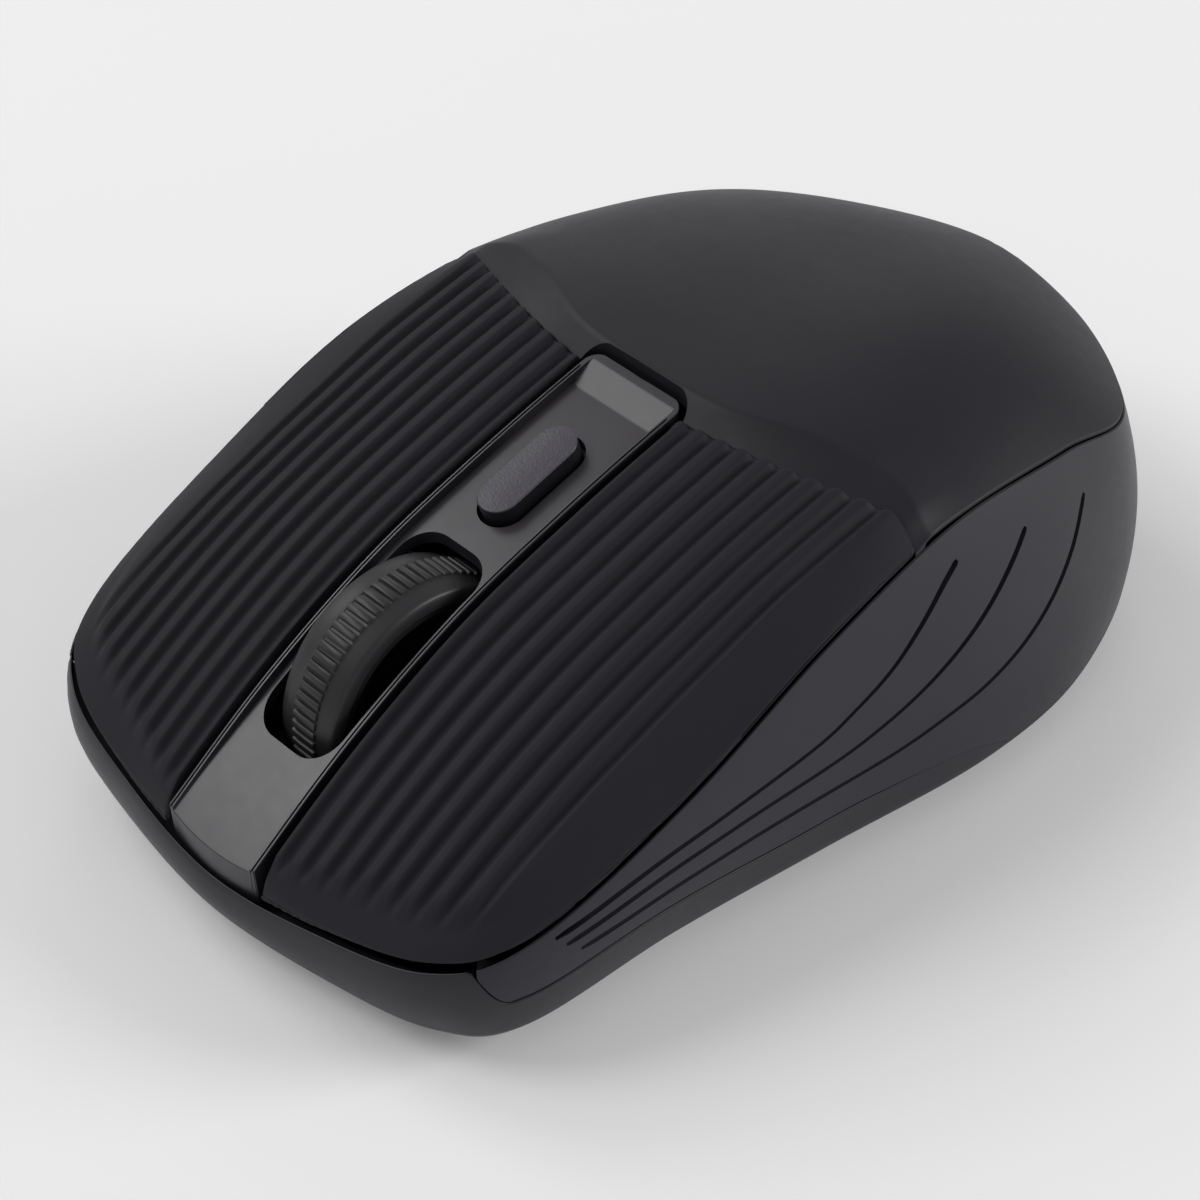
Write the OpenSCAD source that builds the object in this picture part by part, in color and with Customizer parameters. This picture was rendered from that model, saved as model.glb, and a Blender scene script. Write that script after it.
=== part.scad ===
// Compact wireless mouse: nose toward -Y, tail toward +Y, the mouse's own left side toward +X.
// Millimetres, standing on its glides at z = 0.

/* [Shell] */
// Thickness of the side walls
wall = 2; // [1.6:0.1:2.4]
// Thickness of the top covers
skin = 1.8; // [1.4:0.1:2]
// Running gap between neighbouring covers
gap = 0.3; // [0.2:0.05:0.4]
// Underside of the base above the desk
base_z = 0.7; // [0.5:0.1:0.9]
// Height of the widest line, where the walls turn under
chin_z = 4.5; // [4:0.1:5]
// How far the underside is set in from the widest line
tuck = 5.3; // [4.5:0.1:6]

/* [Buttons] */
// Half width of the centre strip
strip_half = 5.9; // [5.6:0.1:6.2]
// Gap between the strip and a main button
strip_gap = 0.75; // [0.5:0.05:0.9]
// Depth of the tray in the centre strip
tray_depth = 1; // [0.6:0.1:1.2]
// Angle that a main button turns when clicked
click_angle = 0.6; // [0.4:0.1:0.8]

/* [Wheel] */
// Outer diameter of the scroll wheel
wheel_d = 23.8; // [23:0.1:24.2]
// Width of the rubber tyre
tyre_w = 7.4; // [6.8:0.1:7.6]

/* [Power] */
// Diameter of the AA cell
cell_d = 14.2; // [13.5:0.1:14.5]
// Travel of the power slider
power_travel = 2.5; // [2:0.1:3]

/* [Hidden] */

// Seam under the buttons and the palm cover, nose to tail along the left side: x, y, z
SEAM = [[0, -49.5, 9.2], [12.5, -48.5, 10.4], [24.5, -45.5, 12.2], [30, -39, 14.8],
  [31.8, -23, 21], [31.5, -6, 27.5], [29.8, 11, 29.7], [27.8, 28, 27],
  [24.8, 39.8, 23.2], [13, 47.9, 23], [0, 49.5, 24.6]];
// Widest line: x, y, and how far the wall above it swells at mid height
CHIN = [[0, -50, 0.5], [14, -48.4, 0.5], [24.4, -45.5, 0.9], [29.5, -39.5, 0.8],
  [30.5, -23, 1], [32.4, -6.5, 1.2], [34.6, 12.5, 1.5], [32.7, 27.3, 1.5],
  [25, 41.8, 1.2], [12, 48.6, 1], [0, 50, 1]];
LAST = len(SEAM) - 1;
// Height of the buttons and of the palm cover along the middle: y, z
BUTTON_LINE = [[-62.5, 2.5], [-50, 11.6], [-37.5, 20], [-25, 26.3], [-12.5, 30.4], [0, 33.6], [12.5, 36]];
PALM_LINE = [[-12.5, 34], [0, 34.8], [12.5, 35.4], [25, 34.5], [37.5, 30.8], [50, 24.5], [62.5, 15.5]];
crown_power = 3.2;
// Lower edge of the side frame: seam parameter, share of the wall's height. It drops behind the
// nose corner and runs out into the widest line
FRAME_LINE = [[2.25, 0.5], [2.85, 0.43], [3.45, 0.38], [4.05, 0.28], [4.65, 0.19], [5.25, 0.15],
  [5.85, 0.09], [6.45, -0.1]];
frame_front = 2.3;
frame_start = 2.5;
frame_step = FRAME_LINE[1][0];
frame_end = 6.4;

floor_z = base_z + 2;
e = 0.01;
fine = 64;

// Main button pivot
pivot_y = 3.5;
pivot_z = 27.2;
// Scroll wheel
wheel_r = wheel_d / 2;
wheel_y = -26.8;
wheel_z = 16;
// Wheel slot in the strip
slot_y = -29.9;
slot_len = 21;
slot_half = 4.7;
slot_r = 3;
// Main board
board_z = 7;
board_t = 1.2;
board_top = board_z + board_t;
// Battery
cell_y = 21;
cell_z = 17.2;
// Self-tapping screws: pilot hole in a boss, clearance hole
pilot_d = 2.05;
clear_d = 2.5;
// Points where the tray is screwed down, where the board is, and where the strip is
TRAY_SCREWS = [[21, 8.6], [-21, 8.6], [18.5, 34], [-18.5, 34]];
BOARD_SCREWS = [[19, -12], [-19, -12]];
STRIP_SCREW = [0, -44.2];
tray_boss_z = 9;
// Posts that guide the wheel carrier
GUIDE_X = 9.6;
guide_d = 2.5;
// Where the two wires leave the battery bay
WIRE_X = [26, -25.2];
// Main switches
switch_x = 15.5;
switch_y = -33.5;
plunger_y = -35.5;
// DPI button: centre on the strip floor, and the strip's slope there
dpi_y = -11;
dpi_slope = 16;
dpi_len = 11;
dpi_w = 4.2;
dpi_rise = 1.6;
// Glides: y and length
GLIDES = [[-36.8, 29.6], [40.4, 27.6]];
glide_w = 5.6;
// Optical sensor
sensor_y = -0.8;
// Power slider
power_x = -15;
power_y = 0;

// ---------- curves ----------
function flip(p) = [-p[0], p[1], p[2]];
function pick(c, i) = i < 0 ? flip(c[-i]) : i > LAST ? flip(c[2 * LAST - i]) : c[i];
function spline(p0, p1, p2, p3, f) = 0.5 * (2 * p1 + (p2 - p0) * f
  + (2 * p0 - 5 * p1 + 4 * p2 - p3) * f * f + (3 * p1 - p0 - 3 * p2 + p3) * f * f * f);
function half_curve(c, s) = let (i = min(floor(s), LAST - 1))
  spline(pick(c, i - 1), pick(c, i), pick(c, i + 1), pick(c, i + 2), s - i);
// A point of a closed curve: s runs 0 to LAST up the left side and on to 2 * LAST down the right
function on(c, s) = s <= LAST ? half_curve(c, s) : flip(half_curve(c, 2 * LAST - s));
function height(line, y) = let (step = line[1][0] - line[0][0],
    f = (y - line[0][0]) / step, i = max(1, min(floor(f), len(line) - 3)))
  spline(line[i - 1][1], line[i][1], line[i + 1][1], line[i + 2][1], f - i);
function unit(v) = v / norm(v);
function outward(s) = let (a = on(CHIN, max(s - 0.05, 0)), b = on(CHIN, min(s + 0.05, 2 * LAST)),
    d = unit([b[0] - a[0], b[1] - a[1]])) [d[1], -d[0], 0];
function swell(s) = on(CHIN, s)[2];
function chin(s) = let (p = on(CHIN, s)) [p[0], p[1], chin_z];
// The wall: share 0 is the widest line, share 1 is the seam, inset moves it inward
function wall_at(s, share, inset = 0) = chin(s) * (1 - share) + on(SEAM, s) * share
  + outward(s) * (swell(s) * 4 * share * (1 - share) - inset);
function smooth(a, b, x) = let (t = max(0, min(1, (x - a) / (b - a)))) t * t * (3 - 2 * t);
function frame_edge(s) = let (t = min(s, 2 * LAST - s))
  t < frame_step ? 1 - (1 - FRAME_LINE[1][1]) * smooth(frame_front, frame_step, t)
  : max(0, height(FRAME_LINE, min(t, frame_end)));
// Room under a button's edge grows with its distance from the pivot
function edge_gap(y) = gap + max(0, pivot_y - y) * sin(click_angle);
function rim_share(s) = let (p = on(SEAM, s)) 1 - edge_gap(p[1]) / (p[2] - chin_z);

// The seam's parameter at a given y, found by halving
function seam_at(y, lo = 0, hi = 10, n = 18) = n == 0 ? (lo + hi) / 2
  : let (m = (lo + hi) / 2) half_curve(SEAM, m)[1] < y ? seam_at(y, m, hi, n - 1)
  : seam_at(y, lo, m, n - 1);
// A top surface: level along the middle, falling to the seam at the sides
function top(line, x, y) = let (e = half_curve(SEAM, seam_at(y)), z = height(line, y))
  z - (z - e[2]) * pow(min(1, abs(x) / max(e[0], 0.1)), crown_power);
function palm_seam(x) = 0.6 + 0.008 * x * x;

// ---------- solids from points ----------
function quad(a, b, c, d) = [[a, b, c], [a, c, d]];
// Closed solid between two grids of the same size: upper[row][column] and lower[row][column]
module sheet(upper, lower) {
  rows = len(upper);
  cols = len(upper[0]);
  size = rows * cols;
  function at(r, c) = r * cols + c;
  faces = [
    for (r = [0:rows - 2]) for (c = [0:cols - 2]) each concat(
      quad(at(r, c), at(r + 1, c), at(r + 1, c + 1), at(r, c + 1)),
      quad(size + at(r, c), size + at(r, c + 1), size + at(r + 1, c + 1), size + at(r + 1, c))),
    for (c = [0:cols - 2]) each concat(
      quad(at(0, c), at(0, c + 1), size + at(0, c + 1), size + at(0, c)),
      quad(at(rows - 1, c + 1), at(rows - 1, c), size + at(rows - 1, c), size + at(rows - 1, c + 1))),
    for (r = [0:rows - 2]) each concat(
      quad(at(r + 1, 0), at(r, 0), size + at(r, 0), size + at(r + 1, 0)),
      quad(at(r, cols - 1), at(r + 1, cols - 1), size + at(r + 1, cols - 1), size + at(r, cols - 1)))];
  polyhedron([each each upper, each each lower], faces, convexity = 6);
}
// Closed solid through rings of equal length, capped by the flat first and last ring
module rings(list) {
  n = len(list[0]);
  m = len(list);
  faces = [[for (i = [0:n - 1]) i], [for (i = [0:n - 1]) m * n - 1 - i],
    for (k = [0:m - 2]) for (i = [0:n - 1]) let (j = (i + 1) % n)
      each quad(k * n + i, (k + 1) * n + i, (k + 1) * n + j, k * n + j)];
  polyhedron([each each list], faces, convexity = 8);
}
// Round tube along a list of points
module tube(path, r, sides = 8) {
  last = len(path) - 1;
  sections = [for (i = [0:last])
    let (d = unit(path[min(i + 1, last)] - path[max(i - 1, 0)]),
      a = unit(cross(d, [0.1, 0.2, 1])), b = cross(d, a))
      [for (k = [0:sides - 1]) path[i] + r * (cos(k * 360 / sides) * a + sin(k * 360 / sides) * b)]];
  rings(sections);
}
function bend(c, n = 5) = [for (i = [1:len(c) - 3]) for (k = [0:n - 1])
    spline(c[i - 1], c[i], c[i + 1], c[i + 2], k / n), c[len(c) - 2]];
module stadium_prism(len, w, h) {
  for (s = [-1, 1]) translate([0, s * (len - w) / 2, 0]) cylinder(d = w, h = h, $fn = 48);
  translate([-w / 2, -(len - w) / 2, 0]) cube([w, len - w, h]);
}
module ring_tube(d_out, d_in, h) {
  difference() {
    cylinder(d = d_out, h = h, $fn = fine);
    translate([0, 0, -1]) cylinder(d = d_in, h = h + 2, $fn = fine);
  }
}
module screw(head_d, head_h, shank_d, length) {
  difference() {
    cylinder(d = head_d, h = head_h, $fn = 48);
    for (a = [0, 90]) rotate(a) translate([-head_d * 0.32, -0.3, -1]) cube([head_d * 0.64, 0.6, 1.8]);
  }
  translate([0, 0, head_h - e]) cylinder(d = shank_d, h = length, $fn = 32);
}

// ---------- shells ----------
// How the base rolls under: share of the tuck, share of the height up to the widest line
ROLL = [[1, 0], [0.64, 0.18], [0.3, 0.5], [0.08, 0.82]];
ring_steps = [for (i = [0.1:0.2:2 * LAST]) i];
module base_shape() {
  share_top = function (s) min(frame_edge(s), rim_share(s));
  top_gap = function (s) frame_edge(s) > rim_share(s) ? 0 : 0.15;
  outer = function (s, f) let (p = wall_at(s, share_top(s) * f)) [p[0], p[1], p[2] - top_gap(s) * f];
  inner = function (s, f) let (p = wall_at(s, share_top(s) * f, wall)) [p[0], p[1], p[2] - top_gap(s) * f];
  rings([
    for (k = ROLL) [for (s = ring_steps) let (p = chin(s) - outward(s) * tuck * k[0])
      [p[0], p[1], base_z + (chin_z - base_z) * k[1]]],
    for (f = [0, 0.5, 1]) [for (s = ring_steps) outer(s, f)],
    for (f = [1, 0.5, 0]) [for (s = ring_steps) inner(s, f)],
    [for (s = ring_steps) let (p = chin(s) - outward(s) * (tuck - 0.3)) [p[0], p[1], floor_z]]]);
}
// A post that stands on the base's floor
module post(p, d, h) {
  translate([p[0], p[1], floor_z - e]) cylinder(d = d, h = h + e, $fn = fine);
}
// A countersunk screw hole up through the base
module screw_hole(p, head_d, head_h) {
  translate([p[0], p[1], base_z - 1]) {
    cylinder(d = head_d, h = head_h, $fn = fine);
    cylinder(d = clear_d, h = 12, $fn = fine);
  }
}
module base_shell() {
  color([0.16, 0.16, 0.17]) difference() {
    union() {
      base_shape();
      for (p = TRAY_SCREWS) post(p, 7, tray_boss_z - floor_z);
      for (p = BOARD_SCREWS) post(p, 6, board_z - floor_z);
      for (s = [-1, 1]) post([s * GUIDE_X, wheel_y], guide_d, 12);
      post(STRIP_SCREW, 5.6, 4);
    }
    for (p = TRAY_SCREWS) screw_hole(p, 5.4, 3.6);
    screw_hole(STRIP_SCREW, 5, 3.4);
    for (p = BOARD_SCREWS) translate([p[0], p[1], floor_z + 0.3]) cylinder(d = pilot_d, h = 8, $fn = fine);
    // Sensor window, glide recesses and the slot of the power slider
    translate([0, sensor_y, -1]) stadium_prism(11, 7, 6);
    for (g = GLIDES) translate([0, g[0], -1]) glide_outline(g[1] + 0.4, glide_w + 0.4, base_z + 1.2);
    translate([power_x, power_y, -1]) {
      translate([-3, -5, 0]) cube([6, 10, 1.6 + base_z]);
      translate([-1.6, -3.4, 0]) cube([3.2, 6.8, 6]);
    }
  }
}
module glide_outline(len, w, h) {
  rotate([0, 0, 90]) stadium_prism(len, w, h);
}
module side_frame() {
  levels = [0, 0.2, 0.4, 0.6, 0.8, 1];
  steps = [for (i = [0:75]) frame_start + i * (2 * LAST - 2 * frame_start) / 75];
  share = function (s, f) frame_edge(s) + (rim_share(s) - frame_edge(s)) * f;
  outer = [for (s = steps) [for (f = levels) wall_at(s, share(s, f))]];
  inner = [for (s = steps) [for (f = levels) wall_at(s, share(s, f), wall)]];
  color([0.27, 0.26, 0.28]) sheet(inner, outer);
}
// Height of the wall's top across the tail: it falls from the middle to the last seam point
tail_y = 44;
tail_top = SEAM[LAST][2];
tail_fall = tail_top - SEAM[LAST - 1][2];
tail_half = SEAM[LAST - 1][0];
function tail_rim(p) = p[1] > tail_y ? tail_top - tail_fall * pow(p[0] / tail_half, 2) : 0;
// The palm cover reaches from the corner where it meets the buttons to the seam parameter palm_end
palm_corner_x = 29.7;
palm_end = 9.85;
half_width = 30;
module palm_shape() {
  first = seam_at(palm_seam(palm_corner_x));
  rows = [for (v = [0:0.05:1]) first + (palm_end - first) * v];
  cols = [for (u = [-1:0.1:1]) sin(u * 90)];
  back = half_curve(SEAM, first)[1] - palm_seam(0);
  upper = [for (s = rows) let (p = half_curve(SEAM, s), f = 1 - (s - first) / (palm_end - first))
    [for (u = cols) let (y = p[1] - back * f * (1 - u * u) + gap * f, x = u * p[0])
      [x, y, top(PALM_LINE, x, y)]]];
  lower = [for (r = [0:len(rows) - 1]) [for (c = [0:len(cols) - 1])
    let (q = upper[r][c], v = r / (len(rows) - 1), rim = max(half_curve(SEAM, rows[r])[2], tail_rim(q)))
      [q[0] * (1 - wall / half_width), q[1] - wall * pow(v, 3), min(q[2], max(q[2] - skin, rim))]]];
  sheet(upper, lower);
}
module palm_cover() {
  color([0.2, 0.195, 0.21]) difference() {
    palm_shape();
    translate([-strip_half - gap, -5, 25]) cube([2 * (strip_half + gap), 5 + 2.6, 20]);
  }
}
module button_skin() {
  inner_x = strip_half + strip_gap;
  first = 0.63;
  rear = seam_at(palm_seam(palm_corner_x) - gap);
  rows = [for (v = [0:0.045:0.99]) first + (rear - first) * pow(v, 1.3), rear];
  cols = [for (u = [0:0.1:1]) u];
  back = half_curve(SEAM, rear)[1] - palm_seam(inner_x) + gap;
  full = half_curve(SEAM, rear)[0] - inner_x;
  upper = [for (s = rows) let (p = half_curve(SEAM, s), f = max(0, (s - 3) / (rear - 3)))
    [for (u = cols) let (x = inner_x + u * (p[0] - inner_x),
        y = p[1] - back * pow(f, 2) * (1 - pow(u, 1.6)))
      [x, y, top(BUTTON_LINE, x, y)]]];
  lower = [for (r = [0:len(rows) - 1]) [for (c = [0:len(cols) - 1])
    let (q = upper[r][c], u = cols[c], width = upper[r][len(cols) - 1][0] - inner_x,
      rim = half_curve(SEAM, rows[r])[2], nose = 1 - smooth(0, 3, r))
      [q[0] - u * min(wall, width * 0.6), q[1] + 0.6 * nose, max(q[2] - skin, rim)]]];
  sheet(upper, lower);
}
// A main button: the ribbed cover, its switch post and the two lugs that turn on the tray's pivots
LUG_X = [11.3, 19.3];
lug_w = 5.2;
lug_y = -4;
lug_r = 2;
stud_r = 1;
post_z = 15.5;
module main_button() {
  button_skin();
  post_h = top(BUTTON_LINE, switch_x + 2, plunger_y - 2) - skin * 0.7 - post_z;
  translate([switch_x, plunger_y, post_z]) {
    translate([-0.6, -2, 0]) cube([1.2, 4, post_h]);
    translate([-2, -0.6, 0]) cube([4, 1.2, post_h]);
  }
  for (x = LUG_X) translate([x, 0, pivot_z]) difference() {
    web_h = top(BUTTON_LINE, x + lug_w, lug_y) - skin * 0.6 - pivot_z;
    union() {
      translate([0, lug_y, 0]) cube([lug_w, pivot_y - lug_y, lug_r]);
      translate([0, lug_y, 0]) cube([lug_w, 1.6, web_h]);
      translate([0, pivot_y, 0]) rotate([0, 90, 0]) cylinder(r = lug_r, h = lug_w, $fn = fine);
    }
    translate([-1, pivot_y, 0]) rotate([0, 90, 0]) cylinder(r = stud_r + 0.05, h = lug_w + 2, $fn = fine);
    translate([-1, pivot_y - 0.9, -4]) cube([lug_w + 2, 1.8, 4]);
  }
}
module left_button() {
  color([0.22, 0.215, 0.235]) main_button();
}
module right_button() {
  color([0.22, 0.215, 0.235]) mirror([1, 0, 0]) main_button();
}
// The centre strip seen from the side, from its front face to the round end in the palm cover
strip_rows = [for (y = [-49:3.5:-3.5]) y];
strip_front = -49.6;
strip_rear = 2.4;
module strip_profile(lift, depth) {
  line = function (y) height(BUTTON_LINE, y);
  polygon(concat(
    [[strip_front, line(strip_front) + lift - 0.6]],
    [for (y = strip_rows) [y, line(y) + lift]],
    [[-1.5, line(-1.5) + lift], [strip_rear - 1.4, 34.3], [strip_rear - 0.4, 34.4]],
    [[strip_rear, 34], [strip_rear, 34 - depth]],
    [for (i = [len(strip_rows) - 1:-1:0]) let (y = strip_rows[i]) [y + 0.5 * depth, line(y) - depth]],
    [[strip_front, line(strip_front) - depth + 0.3]]));
}
module along_x(half) {
  translate([-half, 0, 0]) rotate([90, 0, 90]) linear_extrude(2 * half) children();
}
// The local frame of the DPI button: z = 0 is the strip's floor
module dpi_frame() {
  translate([0, dpi_y, height(BUTTON_LINE, dpi_y) - tray_depth]) rotate([dpi_slope, 0, 0]) children();
}
module rounded_slot(h) {
  x = slot_half - slot_r;
  y = slot_len / 2 - slot_r;
  for (s = [-1, 1]) for (t = [-1, 1]) translate([s * x, t * y, 0]) cylinder(r = slot_r, h = h, $fn = fine);
  translate([-slot_half, -y, 0]) cube([2 * slot_half, 2 * y, h]);
  translate([-x, -slot_len / 2, 0]) cube([2 * x, slot_len, h]);
}
// Pegs that carry the DPI board, in the DPI button's frame
PEGS = [[-2.8, 8.6], [2.8, 8.6]];
// Half thickness of the strip's raised rims
rim_half = 0.45;
module centre_strip() {
  color([0.42, 0.41, 0.42]) difference() {
    union() {
      along_x(strip_half) strip_profile(-tray_depth, 2.1);
      for (s = [-1, 1]) translate([s * (strip_half - rim_half), 0, 0])
        along_x(rim_half) strip_profile(-0.15, 3.4);
      translate([STRIP_SCREW[0], STRIP_SCREW[1], 7]) cylinder(d = 5.2, h = 4.6, $fn = fine);
      dpi_frame() for (p = PEGS) translate([p[0], p[1], -8]) cylinder(d = 3.4, h = 7.6, $fn = fine);
    }
    translate([0, slot_y, 10]) rounded_slot(25);
    dpi_frame() translate([0, 0, -3]) stadium_prism(dpi_len + 0.3, dpi_w + 0.3, 8);
    translate([STRIP_SCREW[0], STRIP_SCREW[1], 6]) cylinder(d = pilot_d, h = 4.8, $fn = fine);
    dpi_frame() for (p = PEGS) translate([p[0], p[1], -9]) cylinder(d = 1.65, h = 6, $fn = fine);
  }
}
module dpi_button() {
  color([0.24, 0.235, 0.25]) dpi_frame() {
    translate([0, 0, -2.8]) stadium_prism(dpi_len, dpi_w, dpi_rise + 2.8);
    translate([0, 0, -3.3]) stadium_prism(dpi_len + 1.6, dpi_w + 1.6, 1);
    translate([0, 0, -4.2]) cylinder(d = 2.4, h = 2, $fn = 48);
  }
}

// ---------- scroll wheel ----------
module on_wheel_axis(half) {
  translate([-half, wheel_y, wheel_z]) rotate([0, 90, 0]) children();
}
hub_r = 9.6;
axle_r = 1;
module wheel_tyre() {
  w = tyre_w / 2;
  half = [[hub_r, w], [wheel_r - 0.9, w], [wheel_r - 0.3, w - 0.9], [wheel_r - 0.1, 2.3], [wheel_r, 2.2]];
  color([0.13, 0.13, 0.14]) on_wheel_axis(0) rotate_extrude($fn = 96)
    polygon(concat([for (p = half) [p[0], -p[1]]], [for (i = [len(half) - 1:-1:0]) half[i]]));
}
// Two wheel discs joined by a rim and a bush; the slots in the disc are read by the encoder
module wheel_hub() {
  color([0.1, 0.1, 0.11]) {
    on_wheel_axis(0.6) linear_extrude(1.2) difference() {
      circle(r = hub_r - 0.3, $fn = 96);
      circle(r = axle_r, $fn = 48);
      for (a = [0:15:345]) rotate(a) translate([7.4, -0.5]) square([1.4, 1]);
    }
    on_wheel_axis(3.4) linear_extrude(6.8) difference() {
      circle(r = hub_r, $fn = 96);
      circle(r = hub_r - 0.5, $fn = 96);
    }
    on_wheel_axis(3) linear_extrude(6) difference() {
      circle(r = 2.4, $fn = 64);
      circle(r = axle_r, $fn = 48);
    }
  }
}
module wheel_axle() {
  color([0.75, 0.76, 0.78]) on_wheel_axis(7.6) cylinder(r = axle_r, h = 15.2, $fn = 48);
}
// The wheel carrier: a ring round the wheel, two cheeks for the axle, ears on the guide posts
// and a tongue over the wheel switch
ring_y = 12.9;
ring_z = 9.3;
ring_h = 2.2;
module wheel_carrier() {
  color([0.3, 0.3, 0.32]) difference() {
    union() {
      difference() {
        translate([-6.9, wheel_y - ring_y - 1.5, ring_z]) cube([13.8, 2 * ring_y + 3, ring_h]);
        translate([-5.2, wheel_y - ring_y, ring_z - 1]) cube([10.4, 2 * ring_y, ring_h + 2]);
      }
      for (s = [-1, 1]) translate([s * 6.05 - 0.85, wheel_y - 3, ring_z]) cube([1.7, 6, 9]);
      for (s = [-1, 1]) translate([s * GUIDE_X, wheel_y, ring_z]) cylinder(r = 2.7, h = ring_h, $fn = fine);
      translate([-2, wheel_y + ring_y, ring_z]) cube([4, 1.5, 3.9]);
      translate([-2, wheel_y + ring_y, ring_z + 3]) cube([4, 6.2, 0.9]);
    }
    for (s = [-1, 1]) translate([s * GUIDE_X, wheel_y, 8]) cylinder(d = guide_d + 0.1, h = 5, $fn = fine);
    on_wheel_axis(9) cylinder(r = axle_r + 0.05, h = 18, $fn = 48);
  }
}

// ---------- electronics ----------
module main_board() {
  color([0.06, 0.32, 0.2]) translate([0, 0, board_z]) linear_extrude(board_t) difference() {
    polygon([[-19.3, -43.5], [-3.8, -43.5], [-3.8, -40.6], [3.8, -40.6], [3.8, -43.5], [19.3, -43.5],
      [23, -36], [23, 4.8], [-23, 4.8], [-23, -36]]);
    translate([-4.7, -38.6]) square([9.4, 23.8]);
    for (p = BOARD_SCREWS) translate(p) circle(d = 2.4, $fn = 48);
    for (s = [-1, 1]) translate([s * GUIDE_X, wheel_y]) circle(d = 3.2, $fn = 48);
    translate([-2.2, sensor_y - 2.5]) square([4.4, 5]);
  }
}
// A snap-action switch with a hollow for its plunger
module snap_switch(x) {
  color([0.12, 0.12, 0.13]) translate([x, switch_y, board_top]) difference() {
    translate([-2.9, -6.4, 0]) cube([5.8, 12.8, 6.5]);
    translate([-1.55, plunger_y - switch_y - 0.85, 4.6]) cube([3.1, 1.7, 3]);
    for (t = [-1, 1]) translate([-4, t * 3.3, 1.6]) rotate([0, 90, 0]) cylinder(d = 1.6, h = 8, $fn = 32);
  }
}
module snap_plunger(x) {
  foot = board_top + 5.3;
  color([0.85, 0.84, 0.8]) translate([x - 1.5, plunger_y - 0.8, foot]) cube([3, 1.6, post_z - 0.05 - foot]);
}
module left_switch() { snap_switch(switch_x); }
module right_switch() { snap_switch(-switch_x); }
module left_plunger() { snap_plunger(switch_x); }
module right_plunger() { snap_plunger(-switch_x); }
// A tact switch, standing on z = 0, and its round plunger
module tact_body(h) {
  color([0.14, 0.14, 0.15]) difference() {
    translate([-3, -3, 0]) cube([6, 6, h]);
    translate([0, 0, h - 1.4]) cylinder(d = 3.5, h = 3, $fn = 48);
  }
}
module tact_plunger(h, top_z) {
  color([0.75, 0.72, 0.65]) translate([0, 0, h - 0.6]) cylinder(d = 3.4, h = top_z - h + 0.6, $fn = 48);
}
wheel_tact = [0, wheel_y + ring_y + 4.7, board_top];
module wheel_switch() { translate(wheel_tact) tact_body(3.1); }
module wheel_plunger() { translate(wheel_tact) tact_plunger(3.1, 12.28 - board_top); }
module encoder_part(s) {
  translate([s * 9 - 1, -36.6, board_top]) {
    cube([2, 4.4, 6]);
    translate([0.6 - s, 2.2, 4.2]) rotate([0, 90, 0]) cylinder(d = 2, h = 0.8, $fn = 32);
  }
}
module encoder_emitter() { color([0.75, 0.8, 0.9]) encoder_part(1); }
module encoder_detector() { color([0.08, 0.08, 0.09]) encoder_part(-1); }
module dpi_board() {
  color([0.06, 0.32, 0.2]) dpi_frame() translate([0, 0, -9.05]) linear_extrude(1) difference() {
    translate([-4.6, -3.8]) square([9.2, 15.4]);
    for (p = PEGS) translate(p) circle(d = 1.8, $fn = 48);
  }
}
module dpi_switch() { dpi_frame() translate([0, 0, -8.05]) tact_body(3); }
module dpi_plunger() { dpi_frame() translate([0, 0, -8.05]) tact_plunger(3, 3.8); }
module sensor_chip() {
  color([0.08, 0.08, 0.09]) translate([-4.5, sensor_y - 5, board_top]) cube([9, 10, 2.4]);
}
module sensor_lens() {
  color([0.8, 0.85, 0.9]) {
    translate([-7, sensor_y - 7.5, floor_z]) cube([14, 15, 1.4]);
    translate([0, sensor_y, floor_z + 1.4 - e]) cylinder(d = 4.2, h = board_z - floor_z - 1.5, $fn = 48);
    translate([0, sensor_y, base_z + 0.5]) stadium_prism(10.6, 6.6, floor_z - base_z - 0.5 + e);
  }
}
module sensor_led() {
  color([0.85, 0.3, 0.25]) translate([-6.6, sensor_y, board_top + 1.7]) {
    sphere(d = 3, $fn = 48);
    rotate([0, -90, 0]) cylinder(d = 3, h = 4, $fn = 48);
    translate([-4, 0, 0]) rotate([0, -90, 0]) cylinder(d = 3.3, h = 1, $fn = 48);
  }
}
module radio_chip() {
  color([0.08, 0.08, 0.09]) translate([9, -13, board_top]) cube([6, 9.8, 1.6]);
}
module crystal() {
  color([0.8, 0.8, 0.8]) translate([12, 0, board_top]) {
    for (s = [-1, 1]) translate([s * 3.2, 0, 0]) cylinder(d = 4.4, h = 3.4, $fn = 48);
    translate([-3.2, -2.2, 0]) cube([6.4, 4.4, 3.4]);
  }
}
module capacitor() {
  color([0.2, 0.25, 0.4]) translate([-14, -19.5, board_top]) cylinder(d = 5, h = 7, $fn = 48);
}
module power_switch() {
  color([0.6, 0.6, 0.62]) translate([power_x, power_y, 0]) difference() {
    translate([-2.9, -5, 3.6]) cube([5.8, 10, board_z - 3.6]);
    translate([-1.1, -3.2, 3]) cube([2.2, 6.4, 3]);
  }
}
module power_slider() {
  color([0.55, 0.55, 0.57]) translate([power_x, power_y - power_travel / 2, 0]) {
    translate([-1.5, -1.7, 1.1]) cube([3, 3.4, 2.2]);
    translate([-1, -1, 3.3 - e]) cube([2, 2, 2]);
    for (t = [-1.2, 0, 1.2]) translate([-1.5, t - 0.2, 0.9]) cube([3, 0.4, 0.3]);
  }
}

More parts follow.
